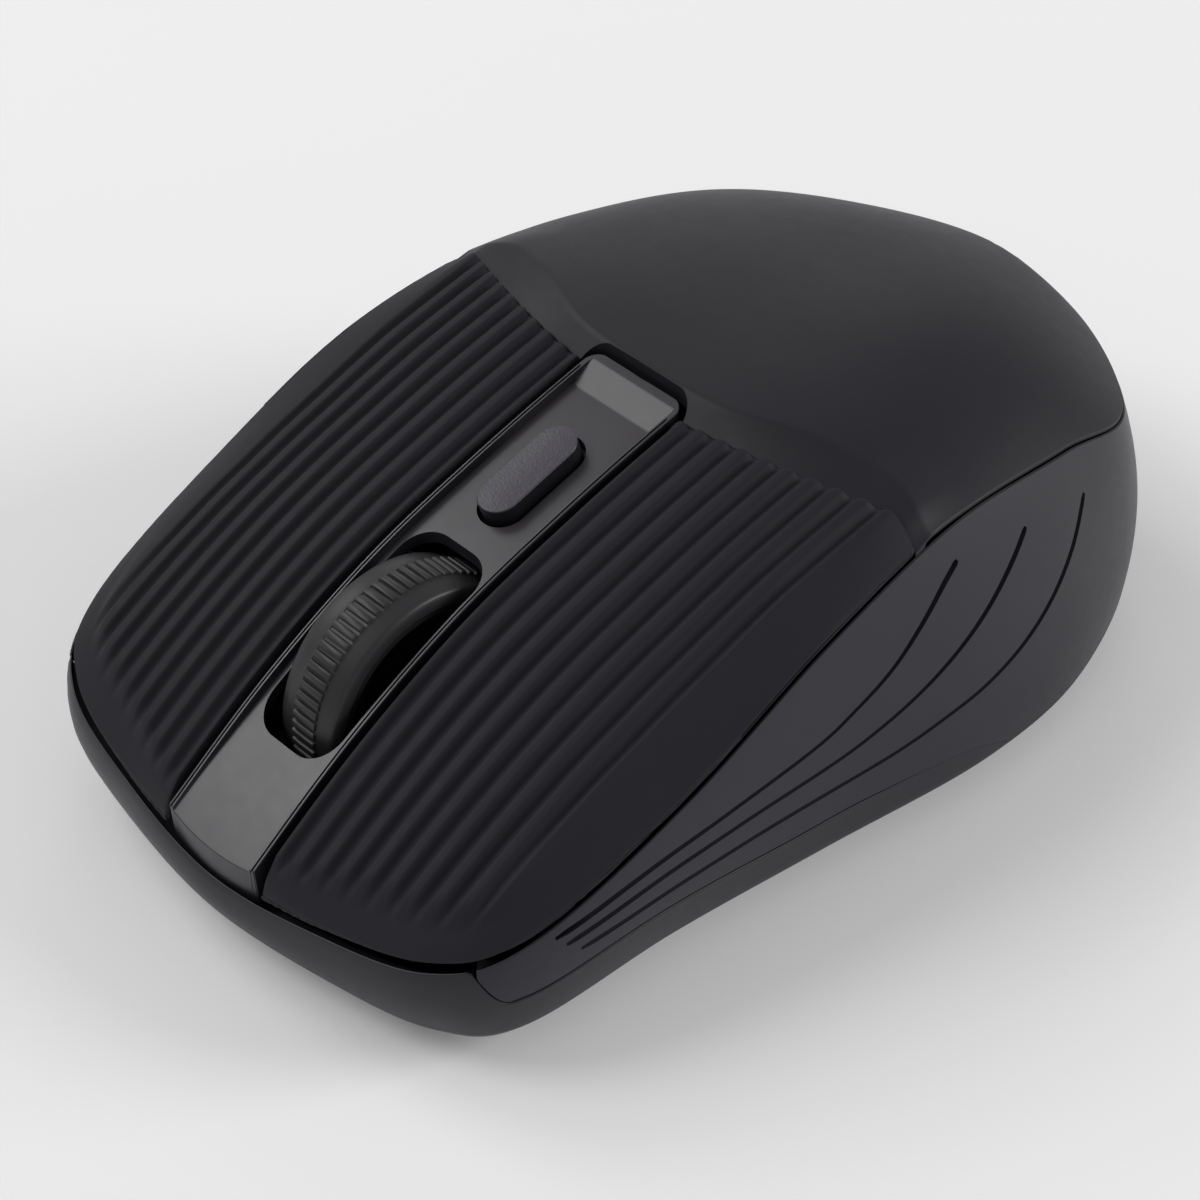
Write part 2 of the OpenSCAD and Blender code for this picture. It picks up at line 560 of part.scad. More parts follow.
// ---------- battery tray and what it holds ----------
deck_z = 20;
deck_t = 1.6;
module deck_outline() {
  half = [[27, 5], [27.4, 20], [26, 29], [23.3, 36], [18, 41.8], [9.5, 45]];
  polygon(concat(half, [for (i = [len(half) - 1:-1:0]) [-half[i][0], half[i][1]]]));
}
// The trough for the cell, open above
module trough(r, left, length, rise) {
  translate([left, cell_y, cell_z]) rotate([0, 90, 0]) cylinder(r = r, h = length, $fn = fine);
  translate([left, cell_y - r, cell_z]) cube([length, 2 * r, rise]);
}
// Pivot brackets of the main buttons and the stud that runs through them
BRACKET_X = [10.15, 17.85, 25.75];
module pivot_brackets(s) {
  for (x = BRACKET_X) translate([s * x - 0.75, 0.9, deck_z]) cube([1.5, 5.6, pivot_z + 1.4 - deck_z]);
  translate([s * 17.95 - 8.55, pivot_y, pivot_z]) rotate([0, 90, 0])
    cylinder(r = stud_r, h = 17.1, $fn = fine);
}
module battery_tray() {
  trough_r = cell_d / 2 + 0.4;
  shell_t = 1.5;
  color([0.17, 0.17, 0.18]) difference() {
    union() {
      difference() {
        union() {
          translate([0, 0, deck_z]) linear_extrude(deck_t) deck_outline();
          trough(trough_r + shell_t, -27.4, 54.8, deck_z + deck_t - cell_z);
          // Pocket for the receiver, and the legs
          translate([-11.3, 31.6, 8.4]) cube([22.6, 9.6, deck_z - 8.4 + e]);
          for (p = TRAY_SCREWS) translate([p[0], p[1], tray_boss_z])
            cylinder(d = 6.6, h = deck_z - tray_boss_z + e, $fn = fine);
        }
        trough(trough_r, -26, 52.6, 20);
        translate([-9.9, 33, 9.6]) cube([19.8, 6.8, 20]);
        translate([-30, cell_y - 12, deck_z + deck_t]) cube([60, 24, 20]);
      }
      for (s = [-1, 1]) pivot_brackets(s);
      translate([-26.5, 0.9, deck_z]) cube([53, 5, deck_t]);
    }
    for (p = TRAY_SCREWS) translate([p[0], p[1], 8]) cylinder(d = pilot_d, h = 9, $fn = fine);
    // Ways for the wires
    for (x = WIRE_X) translate([x, cell_y - 6, 16]) rotate([90, 0, 0]) cylinder(r = 0.9, h = 5, $fn = 32);
  }
}
cell_left = 25.9;
module battery() {
  color([0.35, 0.4, 0.48]) translate([cell_left - 50.5, cell_y, cell_z]) rotate([0, 90, 0]) {
    cylinder(d = cell_d, h = 49.3, $fn = fine);
    cylinder(d = 5.4, h = 50.5, $fn = 48);
  }
}
module battery_spring() {
  turns = 3;
  color([0.8, 0.8, 0.82]) translate([-25.95, cell_y, cell_z]) {
    translate([0, -5, -5]) cube([0.4, 10, 10]);
    for (i = [0:turns - 1]) translate([0.4 + i * 0.28, 0, 0]) rotate([0, 90, 0])
      ring_tube(8.4 - i * 1.6, 5.6 - i * 1.4, 0.29);
  }
}
module battery_tab() {
  color([0.8, 0.8, 0.82]) translate([0, cell_y, cell_z]) {
    translate([26.15, -5, -5]) cube([0.4, 10, 10]);
    translate([cell_left + 0.02, 0, 0]) rotate([0, 90, 0]) cylinder(d = 3, h = 0.24, $fn = 32);
  }
}
module lead(x) {
  s = sign(x);
  tube(bend([[x, 17, 16], [x, 15.9, 16], [x, 13, 16], [s * 25.6, 10, 15], [s * 25.4, 7, 12.6],
    [s * 24, 4.4, 10.6], [s * 21.8, 3, 9.8], [s * 21.4, 2.6, 8.3], [s * 21.4, 2.6, 7]]), 0.5);
}
module positive_wire() { color([0.6, 0.1, 0.1]) lead(WIRE_X[0]); }
module negative_wire() { color([0.07, 0.07, 0.07]) lead(WIRE_X[1]); }
// The receiver stands on its edge in the tray's pocket
receiver = [-9.4, 36.4, 16.8];
module receiver_cap() {
  color([0.1, 0.1, 0.11]) translate(receiver) rotate([0, 90, 0]) difference() {
    linear_extrude(5.4) hull()
      for (a = [-6.2, 6.2]) for (b = [-2.2, 2.2]) translate([a, b]) circle(r = 0.9, $fn = 32);
    translate([-5.95, -2.2, 4.4]) cube([11.9, 4.4, 2]);
  }
}
module receiver_plug() {
  color([0.75, 0.76, 0.78]) translate(receiver + [4.42, 0, 0]) rotate([0, 90, 0]) difference() {
    translate([-5.9, -2.15, 0]) cube([11.8, 4.3, 14]);
    translate([-5.6, -1.85, 1]) cube([11.2, 3.7, 14]);
    for (a = [-3.4, 1]) translate([a, -3, 9]) cube([2.4, 6, 2]);
  }
}
module receiver_tongue() {
  color([0.9, 0.9, 0.88]) translate(receiver + [5.43, 0.02, 0]) rotate([0, 90, 0])
    translate([-5.55, -0.2, 0]) cube([11.1, 1.9, 12]);
}

// ---------- glides and screws ----------
module glide(g) {
  color([0.25, 0.25, 0.26]) translate([0, g[0], 0]) glide_outline(g[1], glide_w, base_z + 0.2);
}
module front_glide() { glide(GLIDES[0]); }
module rear_glide() { glide(GLIDES[1]); }
module case_screws() {
  color([0.6, 0.6, 0.62]) for (p = TRAY_SCREWS) translate([p[0], p[1], 1.5]) screw(4.6, 1.8, 2, 9);
}
module board_screws() {
  color([0.6, 0.6, 0.62]) for (p = BOARD_SCREWS) translate([p[0], p[1], board_top + 1.4])
    rotate([180, 0, 0]) screw(4, 1.4, 2, 4.6);
}
module strip_screw() {
  color([0.6, 0.6, 0.62]) translate([STRIP_SCREW[0], STRIP_SCREW[1], 1.6]) screw(4.4, 1.5, 2, 7.4);
}
module dpi_screws() {
  color([0.6, 0.6, 0.62]) dpi_frame() for (p = PEGS) translate([p[0], p[1], -10.3]) screw(3, 1.2, 1.6, 4);
}

base_shell();
side_frame();
palm_cover();
left_button();
right_button();
centre_strip();
dpi_button();
wheel_tyre();
wheel_hub();
wheel_axle();
wheel_carrier();
main_board();
left_switch();
right_switch();
left_plunger();
right_plunger();
wheel_switch();
wheel_plunger();
encoder_emitter();
encoder_detector();
dpi_board();
dpi_switch();
dpi_plunger();
sensor_chip();
sensor_lens();
sensor_led();
radio_chip();
crystal();
capacitor();
power_switch();
power_slider();
battery_tray();
battery();
battery_spring();
battery_tab();
positive_wire();
negative_wire();
receiver_cap();
receiver_plug();
receiver_tongue();
front_glide();
rear_glide();
case_screws();
board_screws();
strip_screw();
dpi_screws();
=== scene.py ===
"""A compact wireless mouse: fine shells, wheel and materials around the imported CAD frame.

Outlines and heights below are the design's own, in millimetres. Meshes are written in metres.
The nose points toward -Y and the mouse's own left side toward +X.
"""
import math

import bmesh
import bpy
import numpy as np
from mathutils import Matrix, Vector


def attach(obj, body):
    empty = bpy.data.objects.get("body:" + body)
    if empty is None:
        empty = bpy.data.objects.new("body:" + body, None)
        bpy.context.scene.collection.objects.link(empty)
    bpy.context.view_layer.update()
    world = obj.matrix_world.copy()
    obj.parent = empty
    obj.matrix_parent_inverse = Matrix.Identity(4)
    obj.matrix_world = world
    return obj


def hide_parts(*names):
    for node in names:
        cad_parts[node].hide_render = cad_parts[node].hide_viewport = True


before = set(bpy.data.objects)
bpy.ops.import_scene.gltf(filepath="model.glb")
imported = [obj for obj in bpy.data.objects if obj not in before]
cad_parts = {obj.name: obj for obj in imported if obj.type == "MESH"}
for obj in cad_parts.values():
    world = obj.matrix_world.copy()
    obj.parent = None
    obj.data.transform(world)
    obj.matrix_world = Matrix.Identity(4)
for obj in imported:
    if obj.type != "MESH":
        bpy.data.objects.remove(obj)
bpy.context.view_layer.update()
MM = 0.001

# ------------ design values
# Seam under the buttons and the palm cover, nose to tail along the left side: x, y, z
SEAM = np.array([
    (0, -49.5, 9.2), (12.5, -48.5, 10.4), (24.5, -45.5, 12.2), (30, -39, 14.8),
    (31.8, -23, 21), (31.5, -6, 27.5), (29.8, 11, 29.7), (27.8, 28, 27),
    (24.8, 39.8, 23.2), (13, 47.9, 23), (0, 49.5, 24.6)], float)
# Widest line: x, y, and how far the wall above it swells at mid height
CHIN = np.array([
    (0, -50, 0.5), (14, -48.4, 0.5), (24.4, -45.5, 0.9), (29.5, -39.5, 0.8),
    (30.5, -23, 1), (32.4, -6.5, 1.2), (34.6, 12.5, 1.5), (32.7, 27.3, 1.5),
    (25, 41.8, 1.2), (12, 48.6, 1), (0, 50, 1)], float)
LAST = len(SEAM) - 1
# Heights along the middle: y, z
BUTTON_LINE = np.array([
    (-62.5, 2.5), (-50, 11.6), (-37.5, 20), (-25, 26.3), (-12.5, 30.4), (0, 33.6),
    (12.5, 36)], float)
PALM_LINE = np.array([
    (-12.5, 34), (0, 34.8), (12.5, 35.4), (25, 34.5), (37.5, 30.8), (50, 24.5),
    (62.5, 15.5)], float)
# How flat the palm cover's crown is across the middle
CROWN_POWER = 3.2
# Height of the widest line, height of the base's bottom, and how far the base tucks in below
CHIN_Z = 4.5
BASE_Z = 0.7
TUCK = 5.3
# How the base rolls under: share of the tuck, share of the height up to the widest line
ROLL = [
    (1, 0), (0.97, 0.01), (0.85, 0.06), (0.64, 0.19), (0.44, 0.36), (0.3, 0.5), (0.17, 0.66),
    (0.07, 0.83), (0.02, 0.93)]
# Thickness of the frame and base, and of the palm cover and buttons
WALL = 2.0
SKIN = 1.8
# Room under a button's edge at its pivot, and the angle of a click
GAP = 0.3
CLICK = math.radians(0.6)
PIVOT_Y = 3.5

# Centre strip: half width, gap to each button, and how far its floor lies under the buttons' line
STRIP_HALF = 5.9
STRIP_GAP = 0.75
TRAY_DEPTH = 1.0
# Scroll wheel: centre and radius
WHEEL_Y = -26.8
WHEEL_Z = 16.0
WHEEL_R = 11.9
# DPI button: centre, slope, outline, height over the strip's floor, how much larger its hole is,
# and the pegs of its board
DPI_Y = -11.0
DPI_SLOPE = math.radians(16)
DPI_LEN = 11.0
DPI_W = 4.2
DPI_RISE = 1.6
DPI_ROOM = 0.8
DPI_PEGS = [(-2.8, 8.6), (2.8, 8.6)]
# The wheel's slot in the strip
SLOT_Y = -29.9
SLOT_LEN = 21.0
SLOT_HALF = 4.7


# ------------ curves
def extended(curve):
    """A half curve with two mirrored points before its start and after its end."""
    flip = np.array([-1.0, 1.0, 1.0])
    return np.vstack([curve[2] * flip, curve[1] * flip, curve, curve[-2] * flip, curve[-3] * flip])


def spline(p0, p1, p2, p3, f):
    """Catmull-Rom between p1 and p2."""
    return 0.5 * (2 * p1 + (p2 - p0) * f + (2 * p0 - 5 * p1 + 4 * p2 - p3) * f * f
                  + (3 * p1 - p0 - 3 * p2 + p3) * f ** 3)


def on(curve, s):
    """A point of a closed curve: s runs to LAST up the left side, to 2 * LAST down the right."""
    s = np.asarray(s, float)
    half = np.where(s <= LAST, s, 2 * LAST - s)
    i = np.clip(np.floor(half).astype(int), 0, LAST - 1)
    e = extended(curve)
    p = spline(e[i + 1], e[i + 2], e[i + 3], e[i + 4], (half - i)[..., None])
    p[..., 0] *= np.where(s <= LAST, 1, -1)
    return p


def height(line, y):
    """Height of a middle line at y."""
    f = (np.asarray(y, float) - line[0, 0]) / (line[1, 0] - line[0, 0])
    i = np.clip(np.floor(f).astype(int), 1, len(line) - 3)
    z = line[:, 1]
    return spline(z[i - 1], z[i], z[i + 1], z[i + 2], f - i)


def smooth(a, b, x):
    """Smooth step from 0 at a to 1 at b."""
    t = np.clip((np.asarray(x, float) - a) / (b - a), 0, 1)
    return t * t * (3 - 2 * t)


def outward(s):
    """Level outward normal of the widest line."""
    s = np.asarray(s, float)
    d = on(CHIN, np.minimum(s + 0.05, 2 * LAST)) - on(CHIN, np.maximum(s - 0.05, 0))
    d = d[..., :2] / np.linalg.norm(d[..., :2], axis=-1, keepdims=True)
    return np.stack([d[..., 1], -d[..., 0], 0 * d[..., 0]], -1)


def chin(s):
    """The widest line itself."""
    p = on(CHIN, s)
    p[..., 2] = CHIN_Z
    return p


def wall_at(s, share, inset=0.0):
    """The side wall: share 0 is the widest line, share 1 is the seam, inset moves it inward."""
    s, share, inset = np.broadcast_arrays(np.asarray(s, float), share, inset)
    h = share[..., None]
    swell = on(CHIN, s)[..., 2:] * 4 * h * (1 - h)
    return chin(s) * (1 - h) + on(SEAM, s) * h + outward(s) * (swell - inset[..., None])


# Rims are narrow and drop behind their lip, so that the gaps over them are dark
LIP = 0.15
REBATE = 1.8
# The parting line between frame and base: its gap, and the seam parameters where it closes up
PARTING_GAP = 0.15
PARTING_FADE = (5.2, 5.6)
# Seam parameters between which the frame's lower edge falls from the rim to the side
FRAME_FRONT = 2.3
FRAME_STEP = 2.85
# Seam parameters of the frame's own start, and of the end of its lower edge's line
FRAME_START = 2.5
FRAME_LAST = 6.4
# The frame's lower edge along the side: seam parameter, share of the wall's height
FRAME_LINE = np.array([
    (2.25, 0.5), (2.85, 0.43), (3.45, 0.38), (4.05, 0.28), (4.65, 0.19), (5.25, 0.15),
    (5.85, 0.09), (6.45, -0.1)])
# How much lower the frame's upper edge is than the room for a click asks
FRAME_EXTRA = 0.22


def frame_edge(s):
    """Lower edge of the side frame, as a share of the wall's height."""
    t = np.minimum(s, 2 * LAST - s)
    step = 1 - (1 - FRAME_LINE[1, 1]) * smooth(FRAME_FRONT, FRAME_STEP, t)
    run = np.maximum(0, height(FRAME_LINE, np.clip(t, FRAME_STEP, FRAME_LAST)))
    return np.where(t < FRAME_STEP, step, run)


def rim_share(s):
    """Upper edge of the walls: the room under a button grows with the distance to its pivot."""
    p = on(SEAM, s)
    room = GAP + np.maximum(0, PIVOT_Y - p[..., 1]) * math.sin(CLICK)
    return 1 - room / (p[..., 2] - CHIN_Z)


def frame_rim(s):
    """Upper edge of the side frame: lower than the walls' rim, most of all beside the buttons."""
    t = np.minimum(s, 2 * LAST - s)
    extra = FRAME_EXTRA * smooth(3.0, 3.8, t) * (1 - 0.6 * smooth(5.4, 6.2, t))
    return rim_share(s) - extra / (on(SEAM, s)[..., 2] - CHIN_Z)


SEAM_STEPS = 4000
SEAM_S = np.linspace(0, LAST, SEAM_STEPS + 1)
SEAM_P = on(SEAM, SEAM_S)
# Distances use every eighth point of the seam, for this many places at a time
SEAM_SKIP = 8
CHUNK = 4000
# The line between the buttons and the palm cover: y in the middle, bow, and its outer corners
CROSS_Y = 0.6
CROSS_BOW = 0.008
CROSS_CORNER_X = 25.8
CROSS_CORNER_BOW = 0.1


def seam_side(y):
    """Half width and height of the seam at a given y."""
    return np.interp(y, SEAM_P[:, 1], SEAM_P[:, 0]), np.interp(y, SEAM_P[:, 1], SEAM_P[:, 2])


def palm_seam(x):
    """The line between the buttons and the palm cover, turning forward at its outer corners."""
    corner = np.maximum(0, np.abs(x) - CROSS_CORNER_X)
    return CROSS_Y + CROSS_BOW * x * x - CROSS_CORNER_BOW * corner ** 2


def seam_distance(x, y):
    """Level distance to the seam, and the seam's height and parameter at the nearest point."""
    pts = SEAM_P[::SEAM_SKIP]
    shape = x.shape
    x, y = np.abs(x).ravel(), y.ravel()
    best = np.full(x.shape, 1e9)
    z = np.zeros_like(x)
    arc = np.zeros_like(x)
    for k in range(0, len(x), CHUNK):
        part = slice(k, k + CHUNK)
        d = np.hypot(x[part, None] - pts[None, :, 0], y[part, None] - pts[None, :, 1])
        i = d.argmin(1)
        best[part] = d[np.arange(len(i)), i]
        z[part] = pts[i, 2]
        arc[part] = i * SEAM_SKIP * LAST / SEAM_STEPS
    return best.reshape(shape), z.reshape(shape), arc.reshape(shape)


# ------------ mesh tools
# An edge is shaded sharp from this angle between its faces, in degrees
SHARP = 35


def mesh_object(name, verts, faces, material, sharp=SHARP):
    """A smooth-shaded object from points in millimetres."""
    mesh = bpy.data.meshes.new(name)
    mesh.from_pydata((np.asarray(verts, float) * MM).tolist(), [], [list(f) for f in faces])
    mesh.validate()
    mesh.shade_smooth()
    bm = bmesh.new()
    bm.from_mesh(mesh)
    bmesh.ops.recalc_face_normals(bm, faces=bm.faces)
    bm.to_mesh(mesh)
    bm.free()
    mesh.set_sharp_from_angle(angle=math.radians(sharp))
    mesh.materials.append(material)
    obj = bpy.data.objects.new(name, mesh)
    bpy.context.scene.collection.objects.link(obj)
    return obj


def grid_faces(rows, cols, start=0, closed=False):
    """Quads of a grid; a closed grid joins its last column to its first."""
    r = np.arange(rows - 1)[:, None]
    c = np.arange(cols if closed else cols - 1)[None, :]
    n = (c + 1) % cols
    quad = np.stack([start + r * cols + c, start + (r + 1) * cols + c,
                     start + (r + 1) * cols + n, start + r * cols + n], -1)
    return quad.reshape(-1, 4).tolist()


def spread(n, ends):
    """n samples from 0 to 1, closer together at both ends."""
    t = np.linspace(0, 1, n)
    return t - ends * np.sin(2 * np.pi * t) / (2 * np.pi)


def grid_normals(p):
    """Unit normals of a grid of points; which way they point follows from the grid's order."""
    n = np.cross(np.gradient(p, axis=1), np.gradient(p, axis=0))
    return n / np.maximum(np.linalg.norm(n, axis=-1, keepdims=True), 1e-9)


def edge_distance(p):
    """Distance along the grid's own lines to the nearest of its four borders."""
    row_steps = np.linalg.norm(np.diff(p, axis=1), axis=-1).cumsum(1)
    column_steps = np.linalg.norm(np.diff(p, axis=0), axis=-1).cumsum(0)
    across = np.concatenate([np.zeros((p.shape[0], 1)), row_steps], 1)
    along = np.concatenate([np.zeros((1, p.shape[1])), column_steps], 0)
    across = np.minimum(across, across[:, -1:] - across)
    along = np.minimum(along, along[-1:] - along)
    return np.minimum(across, along)


def round_edge(p, n, distance, r):
    """Points p sunk along their normals n near a border, to an edge of radius r."""
    d = np.clip(distance, 0, r)
    return p - n * (r - np.sqrt(np.maximum(0, r ** 2 - (r - d) ** 2)))[..., None]


def loft(name, rings, material, sharp=SHARP, closed=False):
    """A solid through rings of equal length; its ends are capped unless it closes on itself."""
    rings = np.asarray(rings, float)
    m, n = rings.shape[:2]
    faces = grid_faces(m, n, closed=True)
    if closed:
        end = (m - 1) * n
        faces += [[end + i, i, (i + 1) % n, end + (i + 1) % n] for i in range(n)]
    else:
        faces += [list(range(n)), [m * n - 1 - i for i in range(n)]]
    return mesh_object(name, rings.reshape(-1, 3), faces, material, sharp)


def cut(obj, cutters, sharp=SHARP):
    """Cut solids away exactly, and remove the cutters."""
    for cutter in cutters:
        mod = obj.modifiers.new("cut", "BOOLEAN")
        mod.operation = "DIFFERENCE"
        mod.solver = "EXACT"
        mod.object = cutter
        bpy.context.view_layer.update()
        graph = bpy.context.evaluated_depsgraph_get()
        done = bpy.data.meshes.new_from_object(obj.evaluated_get(graph))
        obj.modifiers.clear()
        obj.data = done
        bpy.data.objects.remove(cutter)
    obj.data.shade_smooth()
    obj.data.set_sharp_from_angle(angle=math.radians(sharp))
    return obj


def stadium(length, width, n=24):
    """Outline of a stadium along Y."""
    a = np.linspace(0, np.pi, n)
    r = width / 2
    half = (length - width) / 2
    top = np.stack([r * np.cos(a), half + r * np.sin(a)], -1)
    return np.vstack([top, -top])


def rounded_box(half_x, half_y, r, n=10):
    """Outline of a rectangle with round corners."""
    out = []
    for k, (sx, sy) in enumerate([(1, 1), (-1, 1), (-1, -1), (1, -1)]):
        a = np.linspace(k * np.pi / 2, (k + 1) * np.pi / 2, n)
        x = sx * (half_x - r) + r * np.cos(a)
        y = sy * (half_y - r) + r * np.sin(a)
        out.append(np.stack([x, y], -1))
    return np.vstack(out)


def moved(points, place):
    """Points moved by a matrix, or left alone if there is none."""
    if place is None:
        return points
    return points @ np.array(place.to_3x3()).T + np.array(place.translation)


def prism(outline, low, high, place=None):
    """A temporary cutter: an outline in XY from low to high, moved by a matrix."""
    ends = [np.column_stack([outline, np.full(len(outline), z)]) for z in (low, high)]
    ends = [moved(end, place).tolist() for end in ends]
    return solids("cutter", [ends], 1, bpy.data.materials.new("cutter"))


def solids(name, parts, side, material):
    """Several plain prisms in one object; each is a pair of outlines."""
    verts = []
    faces = []
    for low, high in parts:
        n = len(low)
        k = len(verts)
        verts += low + high
        faces += [[k + i for i in range(n)][::-1], [k + n + i for i in range(n)]]
        faces += [[k + i, k + (i + 1) % n, k + n + (i + 1) % n, k + n + i] for i in range(n)]
    return mesh_object(name, np.array(verts) * [side, 1, 1], faces, material)


def layered(name, grids, side, material, sharp=SHARP):
    """A solid from an outer and an inner grid, joined through the borders of those between."""
    rows, cols = grids[0].shape[:2]
    loop = [(0, c) for c in range(cols)]
    loop += [(r, cols - 1) for r in range(1, rows)]
    loop += [(rows - 1, c) for c in range(cols - 2, -1, -1)]
    loop += [(r, 0) for r in range(rows - 2, 0, -1)]
    size = rows * cols
    verts = [grids[0].reshape(-1, 3), grids[-1].reshape(-1, 3)]
    belts = [[r * cols + c for r, c in loop]]
    start = 2 * size
    for grid in grids[1:-1]:
        verts.append(np.array([grid[r, c] for r, c in loop]))
        belts.append(list(range(start, start + len(loop))))
        start += len(loop)
    belts.append([size + i for i in belts[0]])
    faces = grid_faces(rows, cols) + [f[::-1] for f in grid_faces(rows, cols, size)]
    for upper, lower in zip(belts, belts[1:]):
        for k in range(len(loop)):
            m = (k + 1) % len(loop)
            faces.append([upper[k], upper[m], lower[m], lower[k]])
    verts = np.vstack(verts) * [side, 1, 1]
    return mesh_object(name, verts, faces, material, sharp)


def revolve(name, centres, profile, material, place=None, n=40):
    """Rings of the same closed profile (radius, z) around upright axes."""
    verts = []
    faces = []
    m = len(profile)
    for cx, cy in centres:
        k = len(verts)
        for i in range(n):
            a = 2 * math.pi * i / n
            verts += [(cx + r * math.cos(a), cy + r * math.sin(a), z) for r, z in profile]
        for i in range(n):
            j = (i + 1) % n
            for q in range(m):
                a, b = k + i * m, k + j * m
                faces.append([a + q, b + q, b + (q + 1) % m, a + (q + 1) % m])
    return mesh_object(name, moved(np.array(verts), place), faces, material)


# ------------ materials
# Size of the slow colour drift and of handling marks, and how far the marks change the roughness
DRIFT_MM = 14
MARKS_MM = 1.6
MARKS_ROUGH = 0.02


class Nodes:
    """Short way to write a node tree."""

    def __init__(self, name):
        self.material = bpy.data.materials.new(name)
        self.material.use_nodes = True
        self.tree = self.material.node_tree
        self.bsdf = self.tree.nodes["Principled BSDF"]
        self.coords = self.tree.nodes.new("ShaderNodeTexCoord").outputs["Object"]

    def add(self, kind, inputs=None, **settings):
        node = self.tree.nodes.new(kind)
        for key, value in settings.items():
            setattr(node, key, value)
        for key, value in (inputs or {}).items():
            if isinstance(value, bpy.types.NodeSocket):
                self.tree.links.new(value, node.inputs[key])
            else:
                node.inputs[key].default_value = value
        return node

    def link(self, socket, key):
        self.tree.links.new(socket, self.bsdf.inputs[key])

    def noise(self, size_mm, detail=2.0, stretch=None):
        """Noise whose features are about size_mm across."""
        vector = self.coords
        if stretch:
            vector = self.add("ShaderNodeMapping", {"Vector": vector, "Scale": stretch}).outputs[0]
        return self.add("ShaderNodeTexNoise", {
            "Vector": vector, "Scale": 1 / (size_mm * MM), "Detail": detail}).outputs["Fac"]

    def remap(self, value, low, high):
        """Noise turned into values from about low to about high."""
        return self.add("ShaderNodeMapRange", {
            "Value": value, "From Min": 0.3, "From Max": 0.7,
            "To Min": low, "To Max": high}).outputs[0]

    def bump(self, fac, strength, depth_mm):
        inputs = {"Height": fac, "Strength": strength, "Distance": depth_mm * MM}
        return self.add("ShaderNodeBump", inputs).outputs[0]

    def tint(self, fac, dark, light):
        colours = {"Factor": fac, "A": (*dark, 1), "B": (*light, 1)}
        return self.add("ShaderNodeMix", colours, data_type="RGBA").outputs["Result"]

    def drift(self, colour):
        """A colour that drifts slowly, a little darker and lighter."""
        dark, light = [c * 0.95 for c in colour], [c * 1.05 for c in colour]
        return self.tint(self.noise(DRIFT_MM, 3), dark, light)

    def surface(self, rough, grain_mm, grain, depth, specular):
        """Handling marks in the roughness, moulded grain in the relief."""
        marks = self.noise(MARKS_MM, 4)
        self.link(self.remap(marks, rough - MARKS_ROUGH, rough + MARKS_ROUGH), "Roughness")
        self.link(self.bump(self.noise(grain_mm, 2), grain, depth), "Normal")
        self.bsdf.inputs["Specular IOR Level"].default_value = specular


def plastic(name, colour, rough, grain_mm=0.12, grain=0.25, specular=0.5, coat_and_lit_top=0.0):
    """Moulded plastic: fine moulded grain, slow colour drift and faint handling marks."""
    n = Nodes(name)
    n.link(n.drift(colour), "Base Color")
    n.surface(rough, grain_mm, grain, 0.02, specular)
    n.bsdf.inputs["Coat Weight"].default_value = coat_and_lit_top
    n.bsdf.inputs["Coat Roughness"].default_value = 0.25
    return n.material


def shade_painted_plastic(name, colour, painted_shade_colour, rough, specular=0.5, grain_mm=0.12, grain=0.05, depth=0.02):
    """Plastic with painted shade: faces that turn away from up are painted darker, and upward faces
    keep the lighter colour.
    """
    n = Nodes(name)
    # Painted shade: faces whose normal turns away from up get the darker colour, in place of the
    # shade on front faces and inner walls; upward faces keep the drifting lighter colour.
    coat_and_lit_top = n.drift(colour)
    normal = n.add("ShaderNodeNewGeometry").outputs["Normal"]
    upward = n.add("ShaderNodeSeparateXYZ", {"Vector": normal}).outputs["Z"]
    share = n.add("ShaderNodeMapRange", {
        "Value": upward, "From Min": 0.35, "From Max": 0.65}).outputs[0]
    colours = {"Factor": share, "A": (*painted_shade_colour, 1), "B": coat_and_lit_top}
    mixed = n.add("ShaderNodeMix", colours, data_type="RGBA")
    n.link(mixed.outputs["Result"], "Base Color")
    n.surface(rough, grain_mm, grain, depth, specular)
    return n.material


def metal(name, colour, rough, stretch=(1, 1, 12)):
    """Drawn or turned metal with fine lines."""
    n = Nodes(name)
    lines = n.noise(0.3, 3, stretch)
    n.link(n.tint(lines, [c * 0.85 for c in colour], colour), "Base Color")
    n.link(n.remap(lines, rough - 0.06, rough + 0.08), "Roughness")
    n.link(n.bump(lines, 0.15, 0.01), "Normal")
    n.bsdf.inputs["Metallic"].default_value = 1.0
    return n.material


def clear(name, colour):
    """Moulded clear plastic, faintly uneven."""
    n = Nodes(name)
    haze = n.noise(0.8, 3)
    n.link(n.tint(haze, [c * 0.9 for c in colour], colour), "Base Color")
    n.link(n.remap(haze, 0.04, 0.14), "Roughness")
    n.bsdf.inputs["Transmission Weight"].default_value = 0.85
    n.bsdf.inputs["IOR"].default_value = 1.49
    return n.material


def circuit(name):
    """Green solder mask over faint copper tracks."""
    n = Nodes(name)
    cells = n.add("ShaderNodeTexBrick", {
        "Vector": n.coords, "Scale": 260.0, "Mortar Size": 0.03,
        "Color1": (0.008, 0.06, 0.03, 1), "Color2": (0.01, 0.07, 0.035, 1),
        "Mortar": (0.02, 0.12, 0.06, 1)})
    n.link(cells.outputs["Color"], "Base Color")
    n.link(n.remap(n.noise(0.5, 2), 0.25, 0.4), "Roughness")
    n.link(n.bump(cells.outputs["Fac"], 0.3, 0.03), "Normal")
    return n.material


